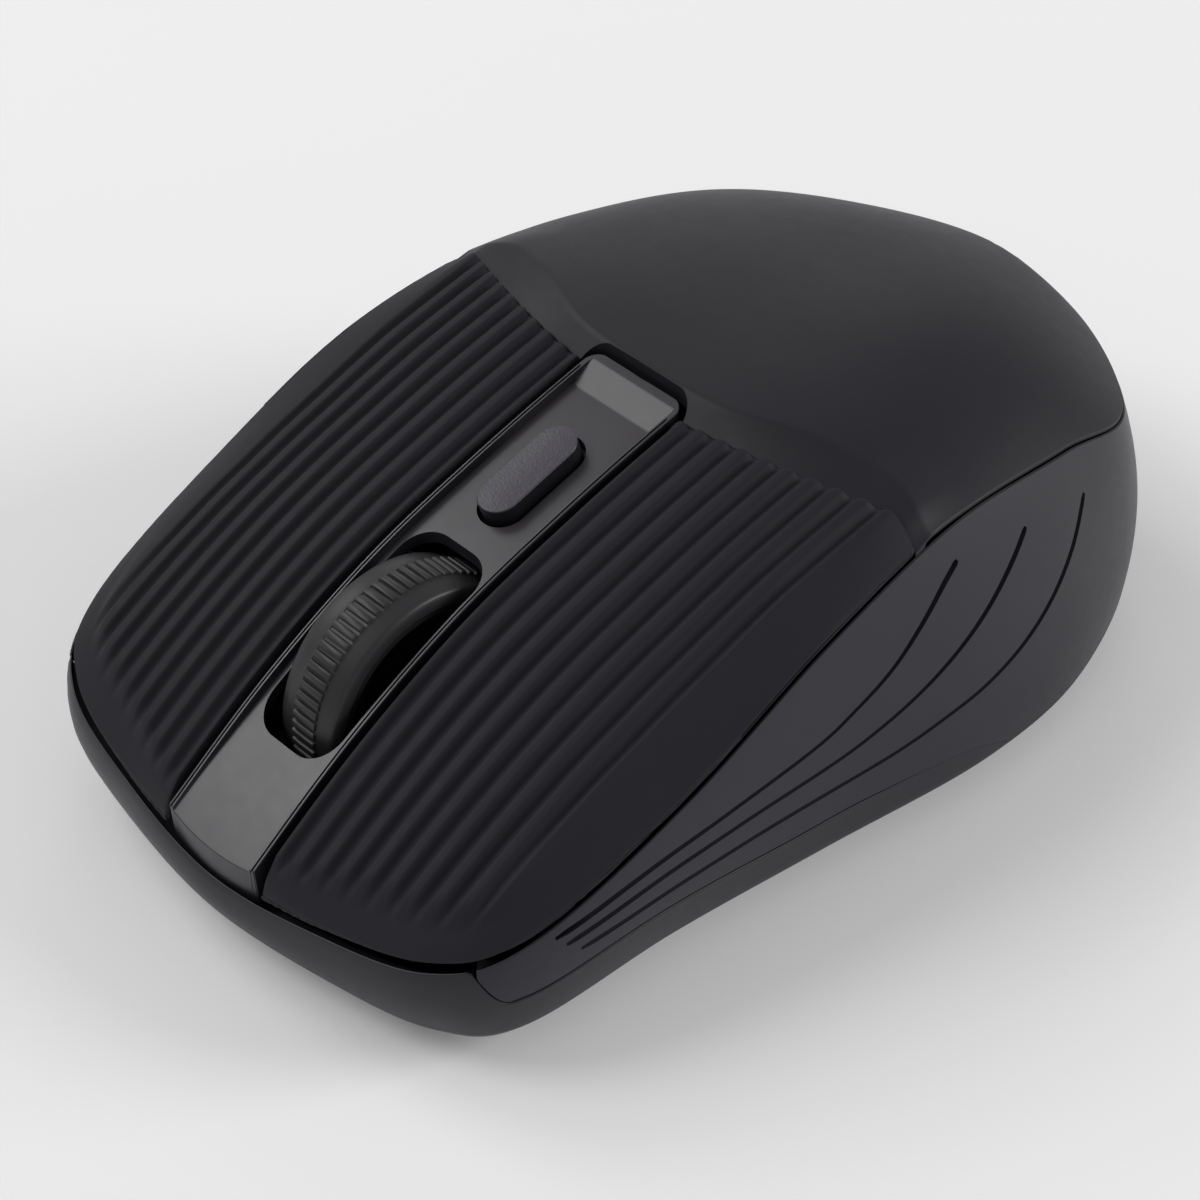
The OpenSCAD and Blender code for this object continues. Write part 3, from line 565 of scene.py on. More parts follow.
BLACK = plastic("base_black", (0.0215, 0.0198, 0.0268), 0.42, 0.1, 0.2, specular=0.3)
FRAME = plastic("frame_grey", (0.0235, 0.0215, 0.029), 0.42, 0.08, 0.16, specular=0.3)
SOFT = plastic("soft_touch", (0.0145, 0.0135, 0.019), 0.5, 0.07, 0.3, specular=0.3)
RIBBED = plastic("button_black", (0.0155, 0.0144, 0.0202), 0.64, 0.09, 0.35, specular=0.25)
# Strip and DPI button: their second, darker colour is painted shade on their front faces, side
# walls and the walls of the slot and hole.
STRIP = shade_painted_plastic("strip_grey", (0.043, 0.039, 0.045), (0.014, 0.013, 0.018), 0.34, specular=0.62)
DPI = shade_painted_plastic("dpi_grey", (0.075, 0.07, 0.087), (0.008, 0.0075, 0.01), 0.42, specular=0.4,
             grain_mm=0.25, grain=1.0, depth=0.06)
RUBBER = plastic("tyre_rubber", (0.027, 0.0265, 0.029), 0.42, 0.1, 0.35, specular=0.4)
HUB = plastic("hub_black", (0.008, 0.008, 0.009), 0.5)
INNER = plastic("inner_black", (0.03, 0.03, 0.032), 0.5, 0.3, 0.3)
CHIP = plastic("part_black", (0.018, 0.018, 0.019), 0.45, 0.1, 0.5)
CREAM = plastic("plunger_cream", (0.62, 0.58, 0.48), 0.4)
LED_RED = plastic("led_red", (0.45, 0.05, 0.04), 0.12, coat_and_lit_top=0.5)
SLEEVE = plastic("cell_sleeve", (0.05, 0.075, 0.11), 0.25, 0.5, 0.05, coat_and_lit_top=0.4)
WIRE_RED = plastic("wire_red", (0.3, 0.02, 0.02), 0.4)
WIRE_BLACK = plastic("wire_black", (0.015, 0.015, 0.015), 0.4)
GLIDE = plastic("glide_grey", (0.09, 0.09, 0.092), 0.35, 0.2, 0.2)
SLIDER = plastic("slider_grey", (0.2, 0.2, 0.21), 0.4)
WHITE = plastic("tongue_white", (0.75, 0.75, 0.72), 0.4)
STEEL = metal("steel", (0.6, 0.6, 0.62), 0.28)
CAN = metal("can_metal", (0.65, 0.65, 0.66), 0.22)
LENS = clear("clear_lens", (0.85, 0.9, 0.93))
BOARD = circuit("board_green")

CARRIED = {
    "wheel_hub": HUB, "wheel_axle": STEEL, "wheel_carrier": INNER, "main_board": BOARD,
    "left_switch": CHIP, "right_switch": CHIP, "left_plunger": CREAM, "right_plunger": CREAM,
    "wheel_switch": CHIP, "wheel_plunger": CREAM, "encoder_emitter": LENS, "encoder_detector": CHIP,
    "dpi_board": BOARD, "dpi_switch": CHIP, "dpi_plunger": CREAM, "sensor_chip": CHIP,
    "sensor_lens": LENS, "sensor_led": LED_RED, "radio_chip": CHIP, "crystal": CAN,
    "capacitor": SLEEVE, "power_switch": CAN, "power_slider": SLIDER, "battery_tray": INNER,
    "battery": SLEEVE, "battery_spring": STEEL, "battery_tab": STEEL, "positive_wire": WIRE_RED,
    "negative_wire": WIRE_BLACK, "receiver_cap": CHIP, "receiver_plug": STEEL,
    "receiver_tongue": WHITE, "front_glide": GLIDE, "rear_glide": GLIDE, "case_screws": STEEL,
    "board_screws": STEEL, "strip_screw": STEEL, "dpi_screws": STEEL}


def dress_carried_nodes():
    """Give every CAD node that stays its finish."""
    for node, material in CARRIED.items():
        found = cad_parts[node]
        for obj in found if isinstance(found, list) else [found]:
            obj.data.materials.clear()
            obj.data.materials.append(material)


# ------------ palm cover
# The cover's last row, as a seam parameter, and the gap to the buttons
PALM_END = 9.93
SHOW_GAP = 0.05
# The band's foot lies a little under the floors of the grooves between the ribs
FOOT_DROP = 0.12
# Least height of the front band, and how softly it meets the crown, as a share of its width
BAND_LEAST = 0.55
BAND_SOFT = 0.08
# How gradually it grows from that least height
BAND_BLEND = 0.05
# The front corners stand above the seam
CORNER_LIFT = 0.8
# The front border's share of the cover's length, and the radii of its borders
FRONT_SHARE = 0.02
FRONT_RADIUS = 0.05
SIDE_RADIUS = 0.22
# How far the cover's own side face drops in front and elsewhere
FRONT_DROP = 1.2
SIDE_DROP = 0.12
# The inner surface is drawn in around this y, across and along
INNER_Y = 22
INNER_ACROSS = 0.92
INNER_ALONG = 0.93


def crown_at(x, y):
    """The palm cover's crown without its front band."""
    side, seam_z = seam_side(y)
    line = height(PALM_LINE, y)
    power = CROWN_POWER - smooth(25, 48, y)
    share = np.clip(x / np.maximum(side, 0.1), 0, 1)
    lift = CORNER_LIFT * smooth(0.72, 0.9, share) * (1 - 0.6 * smooth(0.92, 1, share))
    lift = lift * (1 - smooth(6, 15, y))
    return line - (line - seam_z) * share ** power + lift


def palm_height(x, y):
    """The palm cover's surface: a crown, and a front band sloping down to the feet of the ribs."""
    x = np.abs(x)
    edge_y = palm_seam(x)
    width = 2.3 + 1.8 * smooth(8, 19, x) - 2.1 * smooth(23, 29, x)
    foot = button_base(x, edge_y) - RIB_DEPTH - FOOT_DROP
    step = crown_at(x, edge_y) - foot - BAND_LEAST
    drop = BAND_LEAST + 0.5 * (step + np.sqrt(step * step + BAND_BLEND))
    share = (y - edge_y) / width
    bend = np.clip(1 + BAND_SOFT - share, 0, 2 * BAND_SOFT) ** 2 / (4 * BAND_SOFT)
    return crown_at(x, y) - drop * np.where(share < 1 - BAND_SOFT, 1 - share, bend)


def palm_cover():
    """Crowned soft-touch cover, notched around the end of the centre strip."""
    first = float(np.interp(0, SEAM_P[:, 1] - palm_seam(SEAM_P[:, 0]), SEAM_S))
    border = [0, 0.001, 0.0025, 0.0045, 0.007, 0.01, 0.014]
    v = np.concatenate([border, np.linspace(FRONT_SHARE, 0.3, 70), np.linspace(0.305, 1, 110)])
    s = first + (PALM_END - first) * v
    u = spread(210, 0.8) * 2 - 1
    p = on(SEAM, s)
    front = palm_seam(u[None] * p[0, 0]) - p[0, 1] + SHOW_GAP * 0.5
    y = p[:, 1:2] + (1 - v)[:, None] * front
    x = u[None] * p[:, 0:1]
    top = np.stack([x, y, palm_height(x, y)], -1)
    r = FRONT_RADIUS + (SIDE_RADIUS - FRONT_RADIUS) * smooth(FRONT_SHARE, 0.05, v)[:, None]
    outer = round_edge(top, grid_normals(top), edge_distance(top), r)
    skirt = outer.copy()
    skirt[..., 2] -= np.where(v[:, None] < FRONT_SHARE, FRONT_DROP, SIDE_DROP)
    xi = x * INNER_ACROSS
    yi = INNER_Y + (y - INNER_Y) * INNER_ALONG
    _, near_z, _ = seam_distance(xi, yi)
    inner = np.stack([xi, yi, np.maximum(palm_height(xi, yi) - SKIN, near_z - 0.1)], -1)
    cover = layered("palm_cover_shell", [outer, skirt, inner], 1, SOFT)
    notch = prism(rounded_box(STRIP_HALF + STRIP_GAP, 6, 2.2) + [0, -3.0], 20, 45)
    cut(cover, [notch])
    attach(cover, "palm_cover")
    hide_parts("palm_cover")


# ------------ main buttons
# Ribs: middle of the first groove, pitch, number of grooves, and depth
RIB_FIRST = 7.9
RIB_PITCH = 2.25
RIB_COUNT = 9
RIB_DEPTH = 0.65
# Length over which a rib's rear end rolls down, and by what share of its height
RIB_END = 0.7
RIB_SINK = 0.45
# The button's inner edge, the seam's widest point, and the round of the outer rear corner
INNER_X = STRIP_HALF + STRIP_GAP
WIDEST = int(SEAM_P[:, 0].argmax())
CORNER_BLEND = 1.2
# Half width and power of the crown across a button
CROWN_X = 31.8
CROWN_ROUND = 3
# Length of a button that the spacing of its rows is given for
ROW_SPAN = 51
# Radius of a button's edges, and of its rear edge
EDGE_RADIUS = 0.3
REAR_RADIUS = 0.05
# The button's inner surface is drawn in around this point, across and along
CENTRE_X = 19
CENTRE_Y = -21
DRAWN_ACROSS = 0.9
DRAWN_ALONG = 0.95
# How much the button's surface falls toward its side, before the edge rolls down: y, fall
CROWN_STATIONS = np.array([
    (-50, 0.6), (-45, 1.2), (-39, 2.7), (-31, 4.0), (-23, 4.9), (-14, 4.5), (-6, 3.9), (4, 4.4),
    (12, 4.8)])


def button_front(x):
    """Front edge of a button at x."""
    return np.interp(x, SEAM_P[:WIDEST + 1, 0], SEAM_P[:WIDEST + 1, 1])


def button_rear(x):
    """Rear edge of a button at x, with its round outer corner."""
    rear = palm_seam(x) - SHOW_GAP * 0.5
    side = np.interp(-x, -SEAM_P[WIDEST:, 0], SEAM_P[WIDEST:, 1])
    h = np.clip(0.5 + 0.5 * (side - rear) / CORNER_BLEND, 0, 1)
    return side * (1 - h) + rear * h - CORNER_BLEND * h * (1 - h) * 0.5


def button_base(x, y):
    """The button's surface before its edge is rolled down and its ribs are cut."""
    crown = np.interp(y, CROWN_STATIONS[:, 0], CROWN_STATIONS[:, 1])
    return height(BUTTON_LINE, y) - crown * (np.abs(x) / CROWN_X) ** CROWN_ROUND


def button_height(x, y):
    """The button's surface: ribs stand on it lengthways, and its edge rolls down to the seam."""
    d, seam_z, arc = seam_distance(x, y)
    # The nearest seam point tells the front from the side: arc grows from nose to tail
    foot = on(SEAM, arc)
    front = 1 - smooth(2.6, 3.6, arc)
    outer = smooth(7, 20, foot[..., 0])
    width = 1.2 + 3.4 * outer + 2.0 * smooth(2.4, 4.0, arc) - 3.4 * smooth(4.4, 5.7, arc)
    power = 1.9 - 0.85 * smooth(4.2, 5.7, arc)
    near = button_base(foot[..., 0], foot[..., 1]) - seam_z - RIB_DEPTH * front
    z = button_base(x, y) - near * np.clip(1 - d / width, 0, 1) ** power
    k = np.clip(np.round((x - RIB_FIRST) / RIB_PITCH), 0, RIB_COUNT - 1)
    off = np.abs(x - RIB_FIRST - k * RIB_PITCH)
    behind = np.clip((button_rear(x) - y) / RIB_END, 0, 1)
    roll = np.sqrt(1 - (1 - behind) ** 2)
    t = np.clip((off - 0.3 * (1 - roll)) / (RIB_PITCH / 2), 0, 1)
    groove = 0.8 * (1 - smooth(0, 0.7, t)) + 0.2 * (1 - t) ** 2
    groove = 1 - (1 - groove) * (1 - RIB_SINK + RIB_SINK * roll)
    tips = 1 - (1 - groove) * smooth(1 + outer, 2.2 + 1.4 * outer, d)
    turn = smooth(4.4, 5.7, arc)
    sides = groove * smooth(3.4 - 0.8 * turn, 5.6 - 1.6 * turn, d)
    return z - RIB_DEPTH * (tips * front + sides * (1 - front))


def outline_distance(x, y):
    """Level distance to a button's own outline."""
    s = np.concatenate([np.linspace(INNER_X, 31, 120), np.linspace(31.02, SEAM_P[WIDEST, 0], 60)])
    front = np.column_stack([s, button_front(s)])
    rear = np.column_stack([s, button_rear(s)])
    border = np.vstack([front, rear[::-1], front[:1]])
    best = np.full(x.size, 1e9)
    q = np.column_stack([x.ravel(), y.ravel()])
    for a, b in zip(border[:-1], border[1:]):
        ab = b - a
        length = max(float(ab @ ab), 1e-12)
        f = np.clip(((q - a) @ ab) / length, 0, 1)
        best = np.minimum(best, np.linalg.norm(q - a - f[:, None] * ab, axis=1))
    return best.reshape(x.shape)


def button(side, node):
    """One main button; side is 1 on the mouse's left and -1 on its right."""
    ribbed = np.arange(INNER_X, RIB_FIRST + RIB_PITCH * (RIB_COUNT - 0.5) + 0.1, RIB_PITCH / 16)
    flank = np.arange(ribbed[-1] + 0.2, 30.9, 0.2)
    x = np.concatenate([ribbed, flank, np.linspace(30.95, SEAM_P[WIDEST, 0] - 0.01, 16)])
    near = np.array([
        0, 0.04, 0.09, 0.15, 0.23, 0.33, 0.46, 0.62, 0.82, 1.06, 1.35, 1.7, 2.1, 2.6, 3.1, 3.7,
        4.4, 5.2])
    rows = np.concatenate([near, np.arange(6.2, 45.5, 1.2), ROW_SPAN - near[14::-1]]) / ROW_SPAN
    front = button_front(x) + 0.3 * smooth(12, 26, x) * (1 - smooth(28.5, 30.5, x))
    y = front[None] + rows[:, None] * (button_rear(x) - front)[None]
    x = np.broadcast_to(x[None], y.shape)
    z = button_height(x, y)
    h = 0.02
    slope_x = (button_height(x - h, y) - button_height(x + h, y)) / (2 * h)
    slope_y = (button_height(x, y - h) - button_height(x, y + h)) / (2 * h)
    n = np.stack([slope_x, slope_y, np.ones_like(x)], -1)
    n /= np.linalg.norm(n, axis=-1, keepdims=True)
    r = EDGE_RADIUS - (EDGE_RADIUS - REAR_RADIUS) * smooth(0.96, 0.985, rows)[:, None]
    outer = round_edge(np.stack([x, y, z], -1), n, outline_distance(x, y), r)
    seam_d, seam_z, _ = seam_distance(x, y)
    skirt = outer.copy()
    lowest = np.maximum(outer[..., 2] - SKIN, np.where(seam_d < 1.5, seam_z, 0))
    skirt[..., 2] = np.minimum(outer[..., 2] - 0.1, lowest)
    xi = CENTRE_X + (x - CENTRE_X) * DRAWN_ACROSS
    yi = CENTRE_Y + (y - CENTRE_Y) * DRAWN_ALONG
    _, seam_z, _ = seam_distance(xi, yi)
    inner = np.stack([xi, yi, np.maximum(button_height(xi, yi) - SKIN, seam_z - 0.1)], -1)
    piece = layered(node + "_cover", [outer, skirt, inner], side, RIBBED)
    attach(piece, node)
    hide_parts(node)
    mounts = button_mounts(side, node)
    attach(mounts, node)


# The post over a switch: its middle and its lower end
SWITCH = (15.5, -35.5)
POST_Z = 15.5
# The clips on the tray's pivots: height, inner sides, width, radius, bore, and half the mouth
PIVOT_Z = 27.2
LUG_X = (11.3, 19.3)
LUG_W = 5.2
CLIP_R = 2
CLIP_BORE = 1.05
CLIP_MOUTH = 0.9


def clip_arc(r, start, end, n):
    """Points on a circle around the pivot: y, and height over it."""
    angles = np.linspace(start, end, n)
    return [(PIVOT_Y + r * math.cos(a), r * math.sin(a)) for a in angles]


def button_mounts(side, node):
    """The cross-shaped post over the switch and the two clips on the tray's pivots."""
    outer_edge = math.acos(CLIP_MOUTH / CLIP_R)
    bore_edge = math.acos(CLIP_MOUTH / CLIP_BORE)
    clip = [(-4, 0), (1.5, 0)]
    clip += clip_arc(CLIP_R, math.pi, 2 * math.pi - outer_edge - 1.25, 5)
    clip += [(PIVOT_Y - CLIP_MOUTH, -0.6)]
    clip += clip_arc(CLIP_BORE, math.pi + bore_edge, -bore_edge, 20)
    clip += clip_arc(CLIP_R, -outer_edge, math.pi / 2, 14)
    clip += [(-2.4, CLIP_R)]
    parts = []
    for left in LUG_X:
        web = float(button_base(left + LUG_W, -4.0)) - 1.3 - PIVOT_Z
        ring = [(y, PIVOT_Z + z) for y, z in clip + [(-2.4, web), (-4, web)]]
        parts.append([[(left + dx, y, z) for y, z in ring] for dx in (0, LUG_W)])
    top = float(button_base(SWITCH[0] + 2, SWITCH[1] - 2)) - 1.5
    for half_x, half_y in ((0.6, 2), (2, 0.6)):
        corners = [(-half_x, -half_y), (half_x, -half_y), (half_x, half_y), (-half_x, half_y)]
        corners = [(SWITCH[0] + x, SWITCH[1] + y) for x, y in corners]
        parts.append([[(x, y, z) for x, y in corners] for z in (POST_Z, top)])
    return solids(node + "_mounts", parts, side, RIBBED)


# ------------ centre strip
STRIP_FRONT = -49.6
STRIP_REAR = 2.3
STRIP_CORNER = 1.5
STRIP_EDGE = 0.1
# How far the rims stand below the buttons' line, and the floor's depth below the rims in front
STRIP_SINK = 0.12
FRONT_DEPTH = 0.34
# Width of a rim's top, and of the steep wall between rim and floor
RIM = 0.54
RIM_WALL = 0.12
# A fine channel along each rim: its middle's distance from the edge, half width, depth
CHANNEL_IN = 0.3
CHANNEL_HALF = 0.1
CHANNEL_DEPTH = 0.2
# Length of the slope at the rear end, and how far it starts from that end
REAR_SLOPE = 2.6
REAR_RIM = 0.9


def strip_height(x, y, half):
    """The strip's top: thin rims, and a floor that deepens to the rear and slopes up at its end."""
    inside = np.clip((half - RIM - np.abs(x)) / RIM_WALL, 0, 1)
    ahead = np.clip((STRIP_REAR - REAR_RIM - y) / REAR_SLOPE, 0, 1)
    depth = FRONT_DEPTH + (TRAY_DEPTH - STRIP_SINK - FRONT_DEPTH) * smooth(-49, -36, y)
    channel = np.clip((CHANNEL_HALF - np.abs(half - np.abs(x) - CHANNEL_IN)) / 0.02, 0, 1)
    channel = channel * np.clip((STRIP_REAR - 2 - y) * 5, 0, 1)
    floor = depth * np.minimum(inside, ahead)
    return height(BUTTON_LINE, y) - STRIP_SINK - floor - CHANNEL_DEPTH * channel


def centre_strip():
    """A shallow tray with thin rims, a wheel slot and the DPI button's hole."""
    near = np.array([
        0, 0.02, 0.05, 0.09, 0.14, 0.2, 0.22, 0.3, 0.38, 0.4, 0.47, 0.54, 0.58, 0.62, 0.66, 0.7,
        0.8, 1.05, 1.4])
    even = near[-1]
    offset = np.concatenate([near, np.linspace(even, STRIP_HALF, 14)[1:]])[None]
    v = np.concatenate([
        [0, 0.0004, 0.001, 0.0018, 0.003, 0.006], np.linspace(0.012, 0.9, 100),
        np.linspace(0.903, 0.99, 50),
        [0.992, 0.994, 0.9955, 0.997, 0.998, 0.999, 0.9996, 1]])[:, None]
    straight = STRIP_FRONT + v * (STRIP_REAR - STRIP_FRONT)
    into = np.clip(straight - (STRIP_REAR - STRIP_CORNER), 0, STRIP_CORNER)
    half = STRIP_HALF - (STRIP_CORNER - np.sqrt(STRIP_CORNER ** 2 - into ** 2))
    middle = (STRIP_HALF - offset) * (half - even) / (STRIP_HALF - even)
    x = np.where(offset <= even, half - offset, middle)
    x = np.concatenate([-x, x[:, -2::-1]], 1)
    y = straight + 0.55 * (x / STRIP_HALF) ** 2 * (1 - v) ** 6
    top = np.stack([x, y, strip_height(x, y, half)], -1)
    outer = round_edge(top, grid_normals(top), edge_distance(top), STRIP_EDGE)
    face = smooth(-47.5, -49.4, y)
    brink = outer - [0, 0, 0.12]
    skirt = outer.copy()
    skirt[..., 2] = height(BUTTON_LINE, y) - 2.2 - 2.0 * face
    skirt[..., 1] += 0.15 * face
    inner = np.stack([x * 0.97, y * 0.995, skirt[..., 2]], -1)
    strip = layered("centre_strip_tray", [outer, brink, skirt, inner], 1, STRIP, 28)
    slot = prism(rounded_box(SLOT_HALF, SLOT_LEN / 2, 3) + [0, SLOT_Y], 5, 45)
    hole = prism(stadium(DPI_LEN + DPI_ROOM, DPI_W + DPI_ROOM), -6, 6, dpi_place())
    cut(strip, [slot, hole], sharp=28)
    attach(strip, "housing")
    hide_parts("centre_strip")
    profile = [(1.02, 7), (2.6, 7), (2.6, 10.9), (1.02, 10.9)]
    boss = revolve("strip_boss", [STRIP_SCREW], profile, STRIP)
    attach(boss, "housing")
    profile = [(0.82, -8), (1.7, -8), (1.7, -1.2), (0.82, -1.2)]
    pegs = revolve("dpi_board_pegs", DPI_PEGS, profile, STRIP, dpi_place())
    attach(pegs, "housing")


def dpi_place():
    """The DPI button's own frame: z = 0 is the strip's floor."""
    z = float(height(BUTTON_LINE, DPI_Y)) - TRAY_DEPTH
    return Matrix.Translation((0, DPI_Y, z)) @ Matrix.Rotation(DPI_SLOPE, 4, "X")


def dpi_button():
    """A rounded stadium that stands out of the strip, on a flange that keeps it in."""
    r = 0.2
    # How far each ring stands in from the outline, and its height
    levels = [(-0.8, -3.3), (-0.8, -2.3), (0.0, -2.3), (0.0, DPI_RISE - r)]
    for a in np.linspace(0.15, math.pi / 2, 8):
        levels.append((r * (1 - math.cos(a)), DPI_RISE - r + r * math.sin(a)))
    levels += [(r + k * 0.3, DPI_RISE + 0.03 * k) for k in (1, 2, 3, 4)]
    rings = []
    for inset, z in levels:
        outline = stadium(DPI_LEN - 2 * inset, DPI_W - 2 * inset)
        ring = np.column_stack([outline, np.full(len(outline), z)])
        rings.append(moved(ring, dpi_place()))
    piece = loft("dpi_button_cap", rings, DPI)
    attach(piece, "dpi_button")
    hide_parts("dpi_button")


# ------------ side frame and base
# Grooves on each side, front to rear: y, z
GROOVES = [
    [(-37, 13.8), (-28, 15.6), (-18.5, 16.8), (-8.6, 18), (-3.9, 19.3), (0.6, 21), (4.7, 23.3),
     (8, 25.3), (10.4, 26.5)],
    [(-36.1, 12.7), (-26.7, 13.9), (-16.8, 14.6), (-6.5, 15), (-1.5, 15.7), (3.4, 16.9),
     (8.1, 18.5), (12.6, 20.4), (16.9, 22.7), (19.8, 24.5)],
    [(-34.7, 11.4), (-24.8, 11.7), (-14.6, 11.9), (-4, 11.8), (1.3, 12), (6.5, 12.6), (11.8, 13.3),
     (16.9, 14.6), (21.6, 16.6), (25.7, 19.2), (29.1, 22.3)]]
GROOVE_HALF = 0.3
GROOVE_DEPTH = 0.6
# Radius of the frame's upper edge
FRAME_EDGE = 0.1
# Section of a groove's cutter, in half widths across the wall and depths out of it
GROOVE_SECTION = [
    (1.25, 0.9), (1.0, 0.0), (0.8, -0.75), (0.4, -1.0), (-0.4, -1.0), (-0.8, -0.75), (-1.0, 0.0),
    (-1.25, 0.9)]
# About how much y and z change along the wall's own parameters, to search by
WALL_RUN = 17
WALL_RISE = 22


def on_wall(y, z):
    """The wall's parameters at a given y and height on the left side."""
    s, share = 5.0, 0.5
    for _ in range(30):
        p = wall_at(s, share)
        s += (y - p[1]) / WALL_RUN
        share += (z - p[2]) / WALL_RISE
        s = float(np.clip(s, 2.4, 9))
    return s, share


def groove_cutter(points, side):
    """A bar along the wall, half sunk in it: narrowest near its middle, with blunt ends."""
    pts = [np.array((0.0, y, z)) for y, z in points]
    pts = [2 * pts[0] - pts[1]] + pts + [2 * pts[-1] - pts[-2]]
    path = []
    for i in range(1, len(pts) - 2):
        path += [spline(pts[i - 1], pts[i], pts[i + 1], pts[i + 2], k / 8) for k in range(8)]
    path.append(pts[-2])
    centre = []
    normal = []
    for q in path:
        s, share = on_wall(q[1], q[2])
        a = wall_at(s, share)
        along = wall_at(s + 0.02, share) - wall_at(s - 0.02, share)
        up = wall_at(s, share + 0.02) - wall_at(s, share - 0.02)
        n = np.cross(along, up)
        centre.append(a)
        normal.append(n / np.linalg.norm(n))
    centre = np.array(centre)
    normal = np.array(normal)
    tangent = np.gradient(centre, axis=0)
    tangent /= np.linalg.norm(tangent, axis=1, keepdims=True)
    across = np.cross(tangent, normal)
    share = np.linspace(0, 1, len(centre))
    taper = 0.75 + 0.36 * smooth(0.5, 0.95, share) + 0.28 * (1 - smooth(0.05, 0.4, share))
    taper *= np.clip(0.6 + 90 * np.minimum(share, 1 - share), 0, 1)
    rings = []
    for c, n, b, w in zip(centre, normal, across, taper):
        deep = 0.35 + 0.65 * w
        rings.append([c + b * x * GROOVE_HALF * w + n * z * GROOVE_DEPTH * deep
                      for x, z in GROOVE_SECTION])
    rings = np.array(rings)
    rings[..., 0] *= side
    return loft("cutter", rings, bpy.data.materials.new("cutter"))


def side_frame():
    """U-shaped frame round both sides and the tail, rebated inside, with grooves on each side."""
    s = FRAME_START + (2 * LAST - 2 * FRAME_START) * spread(520, 0.5)
    f = spread(60, 0.8)
    low = frame_edge(s)[:, None]
    tall = frame_rim(s)[:, None] - low
    p = wall_at(s[:, None], low + tall * f[None])
    half_s = np.minimum(s, 2 * LAST - s)
    low_r = PARTING_GAP - 0.135 * smooth(*PARTING_FADE, half_s)[:, None]
    r = np.where(f[None] < 0.5, low_r, FRAME_EDGE)
    outer = round_edge(p, -grid_normals(p), edge_distance(p), r)
    rebate = np.minimum(REBATE / (on(SEAM, s)[:, 2] - CHIN_Z), 0.35 * tall[:, 0])[:, None]
    inside = low + rebate + (tall - 2 * rebate) * f[None]
    lip = wall_at(s[:, None], low + tall * f[None], LIP)
    step = wall_at(s[:, None], inside, LIP + 0.05)
    inner = wall_at(s[:, None], inside, WALL)
    piece = layered("side_frame_shell", [outer, lip, step, inner], 1, FRAME)
    cut(piece, [groove_cutter(g, side) for side in (1, -1) for g in GROOVES])
    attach(piece, "housing")
    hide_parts("side_frame")


# Glides: y and length; their width
GLIDES = [(-36.8, 29.6), (40.4, 27.6)]
GLIDE_W = 5.6
# Places of the sensor's and the slider's windows, of screws, and of the wheel's guides
SENSOR_Y = -0.8
POWER_X = -15.0
TRAY_SCREWS = [(21, 8.6), (-21, 8.6), (18.5, 34), (-18.5, 34)]
STRIP_SCREW = (0, -44.2)
BOARD_SCREWS = [(19, -12), (-19, -12)]
GUIDES = [(9.6, WHEEL_Y), (-9.6, WHEEL_Y)]


def base_shell():
    """The base with its front bumper, tucked in underneath."""
    s = np.arange(0, 2 * LAST, 0.05)
    t = np.minimum(s, 2 * LAST - s)
    out = outward(s)
    rim = np.minimum(frame_edge(s), rim_share(s))
    parting = PARTING_GAP * (1 - smooth(*PARTING_FADE, t)) + 0.01
    gap = np.where(frame_edge(s) > rim_share(s), 0, parting)
    edge = parting * np.clip(rim * 8, 0.05, 1)
    bumper = 1 - smooth(FRAME_FRONT, 2.7, t)
    rings = []
    for inward, up in ROLL:
        ring = chin(s) - out * (TUCK * inward)
        ring[:, 2] = BASE_Z + (CHIN_Z - BASE_Z) * up
        rings.append(ring)
    # Up the outside, round the edge, down behind the lip and down the inside: share, inset, fall
    steps = [(f, 0, gap * f) for f in (0, 0.2, 0.4, 0.6, 0.8, 0.92)]
    for a in np.linspace(0, math.pi / 2, 4):
        steps.append((1, edge * (1 - math.cos(a)), gap + edge * (1 - math.sin(a))))
    for inset, fall in ((LIP, 0), (LIP + 0.05, REBATE), (WALL, REBATE)):
        steps.append((1, inset, gap + fall * bumper))
    steps += [(f, WALL, gap * f) for f in (0.5, 0)]
    for f, inset, fall in steps:
        ring = wall_at(s, rim * f, inset)
        ring[:, 2] -= fall
        rings.append(ring)
    floor = chin(s) - out * (TUCK - 0.3)
    floor[:, 2] = BASE_Z + 2
    rings.append(floor)
    piece = loft("base_shell_tub", rings, BLACK)
    # Openings from below: outline, and the height they reach
    openings = [(stadium(11, 7) + [0, SENSOR_Y], 5)]
    for y, length in GLIDES:
        openings.append((stadium(length + 0.4, GLIDE_W + 0.4)[:, ::-1] + [0, y], BASE_Z + 0.2))
    openings.append((rounded_box(3, 5, 0.8) + [POWER_X, 0], BASE_Z + 0.6))
    openings.append((rounded_box(1.6, 3.4, 0.4) + [POWER_X, 0], 5))
    openings += [(stadium(5.4, 5.4) + [x, y], BASE_Z + 1.6) for x, y in TRAY_SCREWS]
    openings.append((stadium(5, 5) + list(STRIP_SCREW), BASE_Z + 1.4))
    cut(piece, [prism(outline, -1, top) for outline, top in openings])
    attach(piece, "housing")
    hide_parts("base_shell")
    floor_top = BASE_Z + 1.95
    for name, centres, bore, outer, top in (
            ("tray_bosses", TRAY_SCREWS, 1.25, 3.5, 9), ("board_bosses", BOARD_SCREWS, 1.03, 3, 7),
            ("guide_posts", GUIDES, 0.3, 1.25, 14.7),
            ("strip_screw_boss", [STRIP_SCREW], 1.25, 2.8, 6.7)):
        profile = [(bore, floor_top), (outer, floor_top), (outer, top), (bore, top)]
        posts = revolve(name, centres, profile, BLACK)
        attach(posts, "housing")


# ------------ scroll wheel
KNURLS = 74
# The knurled part's two sides, and the radius and the chamfer beside it
KNURL_SIDES = (-1.25, 1.75)
SHOULDER_R = 11.62
CHAMFER = 0.06
